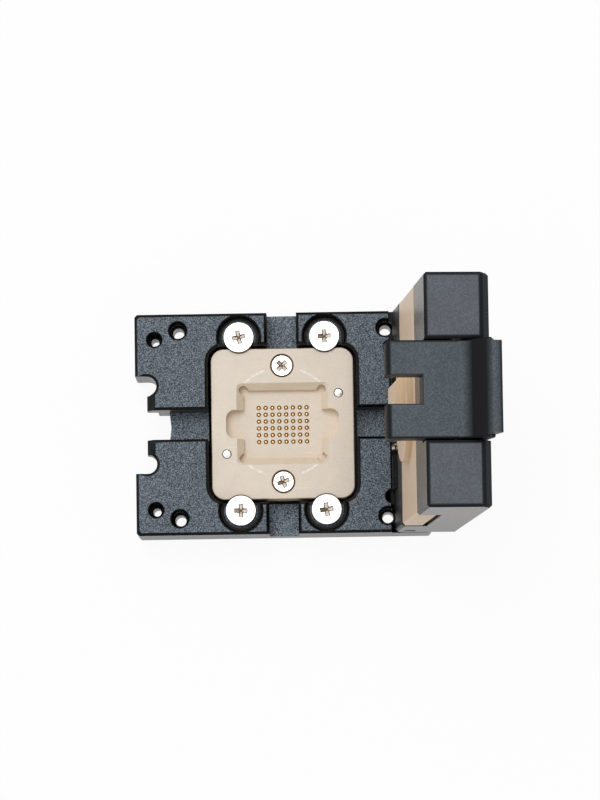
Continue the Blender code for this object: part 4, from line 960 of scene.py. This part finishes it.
countersunk = [
    (0.5 * MM, -5.8 * MM), (0.6 * MM, -5.7 * MM), (0.6 * MM, -0.6 * MM), (1.2 * MM, -0.1 * MM),
    (1.2 * MM, -0.04 * MM), (1.16 * MM, 0.0),
]
plate_master = cross_screw("plate_master", countersunk, 0.92)
for number, (side, angle) in enumerate(((1, 45.0), (-1, 20.0)), 1):
    place = mathutils.Matrix.Translation((0.0, side * PLATE_SCREW_Y, PLATE_HEAD_TOP)) @ about_z(angle)
    placed(plate_master, f"bright_plate_screw_{number}", place, "base", "nickel_plate",
           f"plate_screw_{number}")
for master in (clamp_master, plate_master):
    print(master.name, "faces:", len(master.data.polygons))

# %% [markdown]
# The four guide screws sit in the lid. The lid's own axes are those of the base, leant outwards by
# 5.5 degrees about the hinge pin: X through its thickness and Z along its length. A matrix takes
# each screw from the upright master into that place, head outwards. Modelling them at a slant would
# make every step harder.

# %% Guide screws
OUTWARDS = mathutils.Matrix.Rotation(math.radians(90), 4, "Y")
GUIDE_HEAD_TOP = 5.05 * MM
GUIDE_PLACES_MM = ((-10.0, 9.6), (10.0, 9.6), (-10.0, 19.6), (10.0, 19.6))

guide_profile = pan_head(radius=1.4 * MM, height=0.9 * MM, shank=0.7 * MM, length=5.7 * MM)
guide_master = cross_screw("guide_master", guide_profile, 0.86)
for number, (y, along) in enumerate(GUIDE_PLACES_MM, 1):
    seat = mathutils.Matrix.Translation((GUIDE_HEAD_TOP, y * MM, along * MM))
    place = IN_LID @ seat @ OUTWARDS @ about_z(15.0 * number)
    placed(guide_master, f"bright_guide_screw_{number}", place, "pressure", "nickel_plate",
           f"guide_screw_{number}")
for master in (clamp_master, plate_master, guide_master):
    bpy.data.objects.remove(master, do_unlink=True)
print("guide screws in the lid")

# %% [markdown]
# Dowels and pins are ground steel rods with softly rounded ends, each given by its radius and its
# length. The two locating pins stand upright in the pin body and look as bright as the screws. The
# hinge pin and the latch pin lie across the lid. A cylinder with a bevel would give the same rod in
# two steps, and a turned profile gives it in one.

# %% Dowels and pins
def dowel(name, radius, length, place, body, slot, node):
    """A ground rod along its own Z from the origin, with rounded ends."""
    soft = 0.2 * radius
    rod = turned(name, [
        (radius - soft, 0.0), (radius - 0.3 * soft, 0.3 * soft), (radius, soft), (radius, length - soft),
        (radius - 0.3 * soft, length - 0.3 * soft), (radius - soft, length),
    ], count=40)
    rod.data.transform(place)
    dress(rod, ground_steel)
    smooth(rod, 35.0)
    put_on(rod, body, slot, node)
    return rod


LOCATING_PIN = (0.5 * MM, 5.8 * MM)
HINGE_PIN = (0.6 * MM, 25.6 * MM)
LATCH_PIN = (0.6 * MM, 22.05 * MM)
LOCATING_PIN_FOOT = 0.4 * MM
LATCH_PIN_START = (2.1 * MM, -9.25 * MM, 30.6 * MM)

for number, side in enumerate((1, -1), 1):
    x = side * LOCATING_PLACE[0]
    y = side * LOCATING_PLACE[1]
    place = mathutils.Matrix.Translation((x, y, LOCATING_PIN_FOOT))
    pin = dowel(f"ground_locating_pin_{number}", *LOCATING_PIN, place, "base", "nickel_plate",
                f"locating_pin_{number}")
    dress(pin, nickel)
hinge_place = mathutils.Matrix.Translation((HINGE.x, -HINGE_PIN[1] / 2, HINGE.z)) @ ALONG_Y
dowel("ground_hinge_pin", *HINGE_PIN, hinge_place, "lid", "spring_steel", "hinge_pin")
latch_place = IN_LID @ mathutils.Matrix.Translation(LATCH_PIN_START) @ ALONG_Y
dowel("ground_latch_pin", *LATCH_PIN, latch_place, "lid", "spring_steel", "latch_pin")
print("dowels placed")

# %% [markdown]
# Springs are drawn wire wound on a mandrel. The round section of the wire is swept up a screw line
# by the Screw modifier, which needs no curve to follow. The open ends are closed, and the hinge
# spring's two ends are drawn out as straight legs, one onto the frame and one against the lid. The
# hinge spring is kept as it is with the lid open.

# %% Springs
def coil(name, radius, wire, turns, length, legs=None):
    """A wire coil about Z from level zero, with closed ends and, if given, two straight legs."""
    bpy.ops.object.select_all(action="DESELECT")
    bpy.ops.mesh.primitive_circle_add(vertices=12, radius=wire / 2, fill_type="NOTHING")
    spring = bpy.context.object
    spring.name = name
    spring.data.transform(mathutils.Matrix.Rotation(math.radians(90), 4, "X"))
    spring.data.transform(mathutils.Matrix.Translation((radius, 0.0, 0.0)))
    steps = int(turns * 28)
    apply_modifier(spring, "SCREW", axis="Z", angle=math.tau * turns, screw_offset=length, iterations=1,
                   steps=steps, render_steps=steps, use_merge_vertices=False)
    bpy.ops.object.mode_set(mode="EDIT")
    for at_start in (True, False):
        pick(spring, "EDGE", lambda edge: edge.is_boundary and (edge.verts[0].co.z < length / 2) == at_start)
        bpy.ops.mesh.edge_face_add()
        if legs:
            pick(spring, "FACE", lambda face: len(face.verts) > 8
                 and (face.calc_center_median().z < length / 2) == at_start)
            bpy.ops.mesh.extrude_region_move(TRANSFORM_OT_translate={"value": legs[0 if at_start else 1]})
    bpy.ops.mesh.select_all(action="SELECT")
    bpy.ops.mesh.normals_make_consistent(inside=False)
    bpy.ops.object.mode_set(mode="OBJECT")
    dress(spring, wire_steel)
    smooth(spring, 60.0)
    return spring


HINGE_SPRING_Y = -3.53 * MM
PLATE_SPRING_X = 0.95 * MM
LATCH_SPRING_Z = 26.7 * MM
LATCH_SPRING_X = -0.15 * MM

hinge_spring = coil("wound_torsion_spring", radius=1.76 * MM, wire=0.34 * MM, turns=9.5, length=4.655 * MM,
                    legs=((0.0, 2.5 * MM, 0.0), (0.0, 0.9 * MM, 0.0)))
spring_place = mathutils.Matrix.Translation((HINGE.x, HINGE_SPRING_Y, HINGE.z)) @ ALONG_Y @ about_z(180)
hinge_spring.data.transform(spring_place)
put_on(hinge_spring, "base", "spring_steel", "torsion_spring")

plate_coil = coil("plate_coil", radius=1.1 * MM, wire=0.3 * MM, turns=4.0, length=1.65 * MM)
for number, (y, along) in enumerate(GUIDE_PLACES_MM, 1):
    place = IN_LID @ mathutils.Matrix.Translation((PLATE_SPRING_X, y * MM, along * MM)) @ OUTWARDS
    spring = placed(plate_coil, f"wound_plate_spring_{number}", place, "lid", "spring_steel",
                    f"plate_spring_{number}")
    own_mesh(spring)
bpy.data.objects.remove(plate_coil, do_unlink=True)

latch_coil = coil("wound_latch_spring", radius=0.85 * MM, wire=0.3 * MM, turns=5.0, length=3.5 * MM)
coil_place = mathutils.Matrix.Translation((LATCH_SPRING_X, 0.0, LATCH_SPRING_Z)) @ OUTWARDS
latch_coil.data.transform(IN_LID @ coil_place)
put_on(latch_coil, "lid", "spring_steel", "latch_spring")
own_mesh(latch_coil)
print("hinge spring faces:", len(hinge_spring.data.polygons))
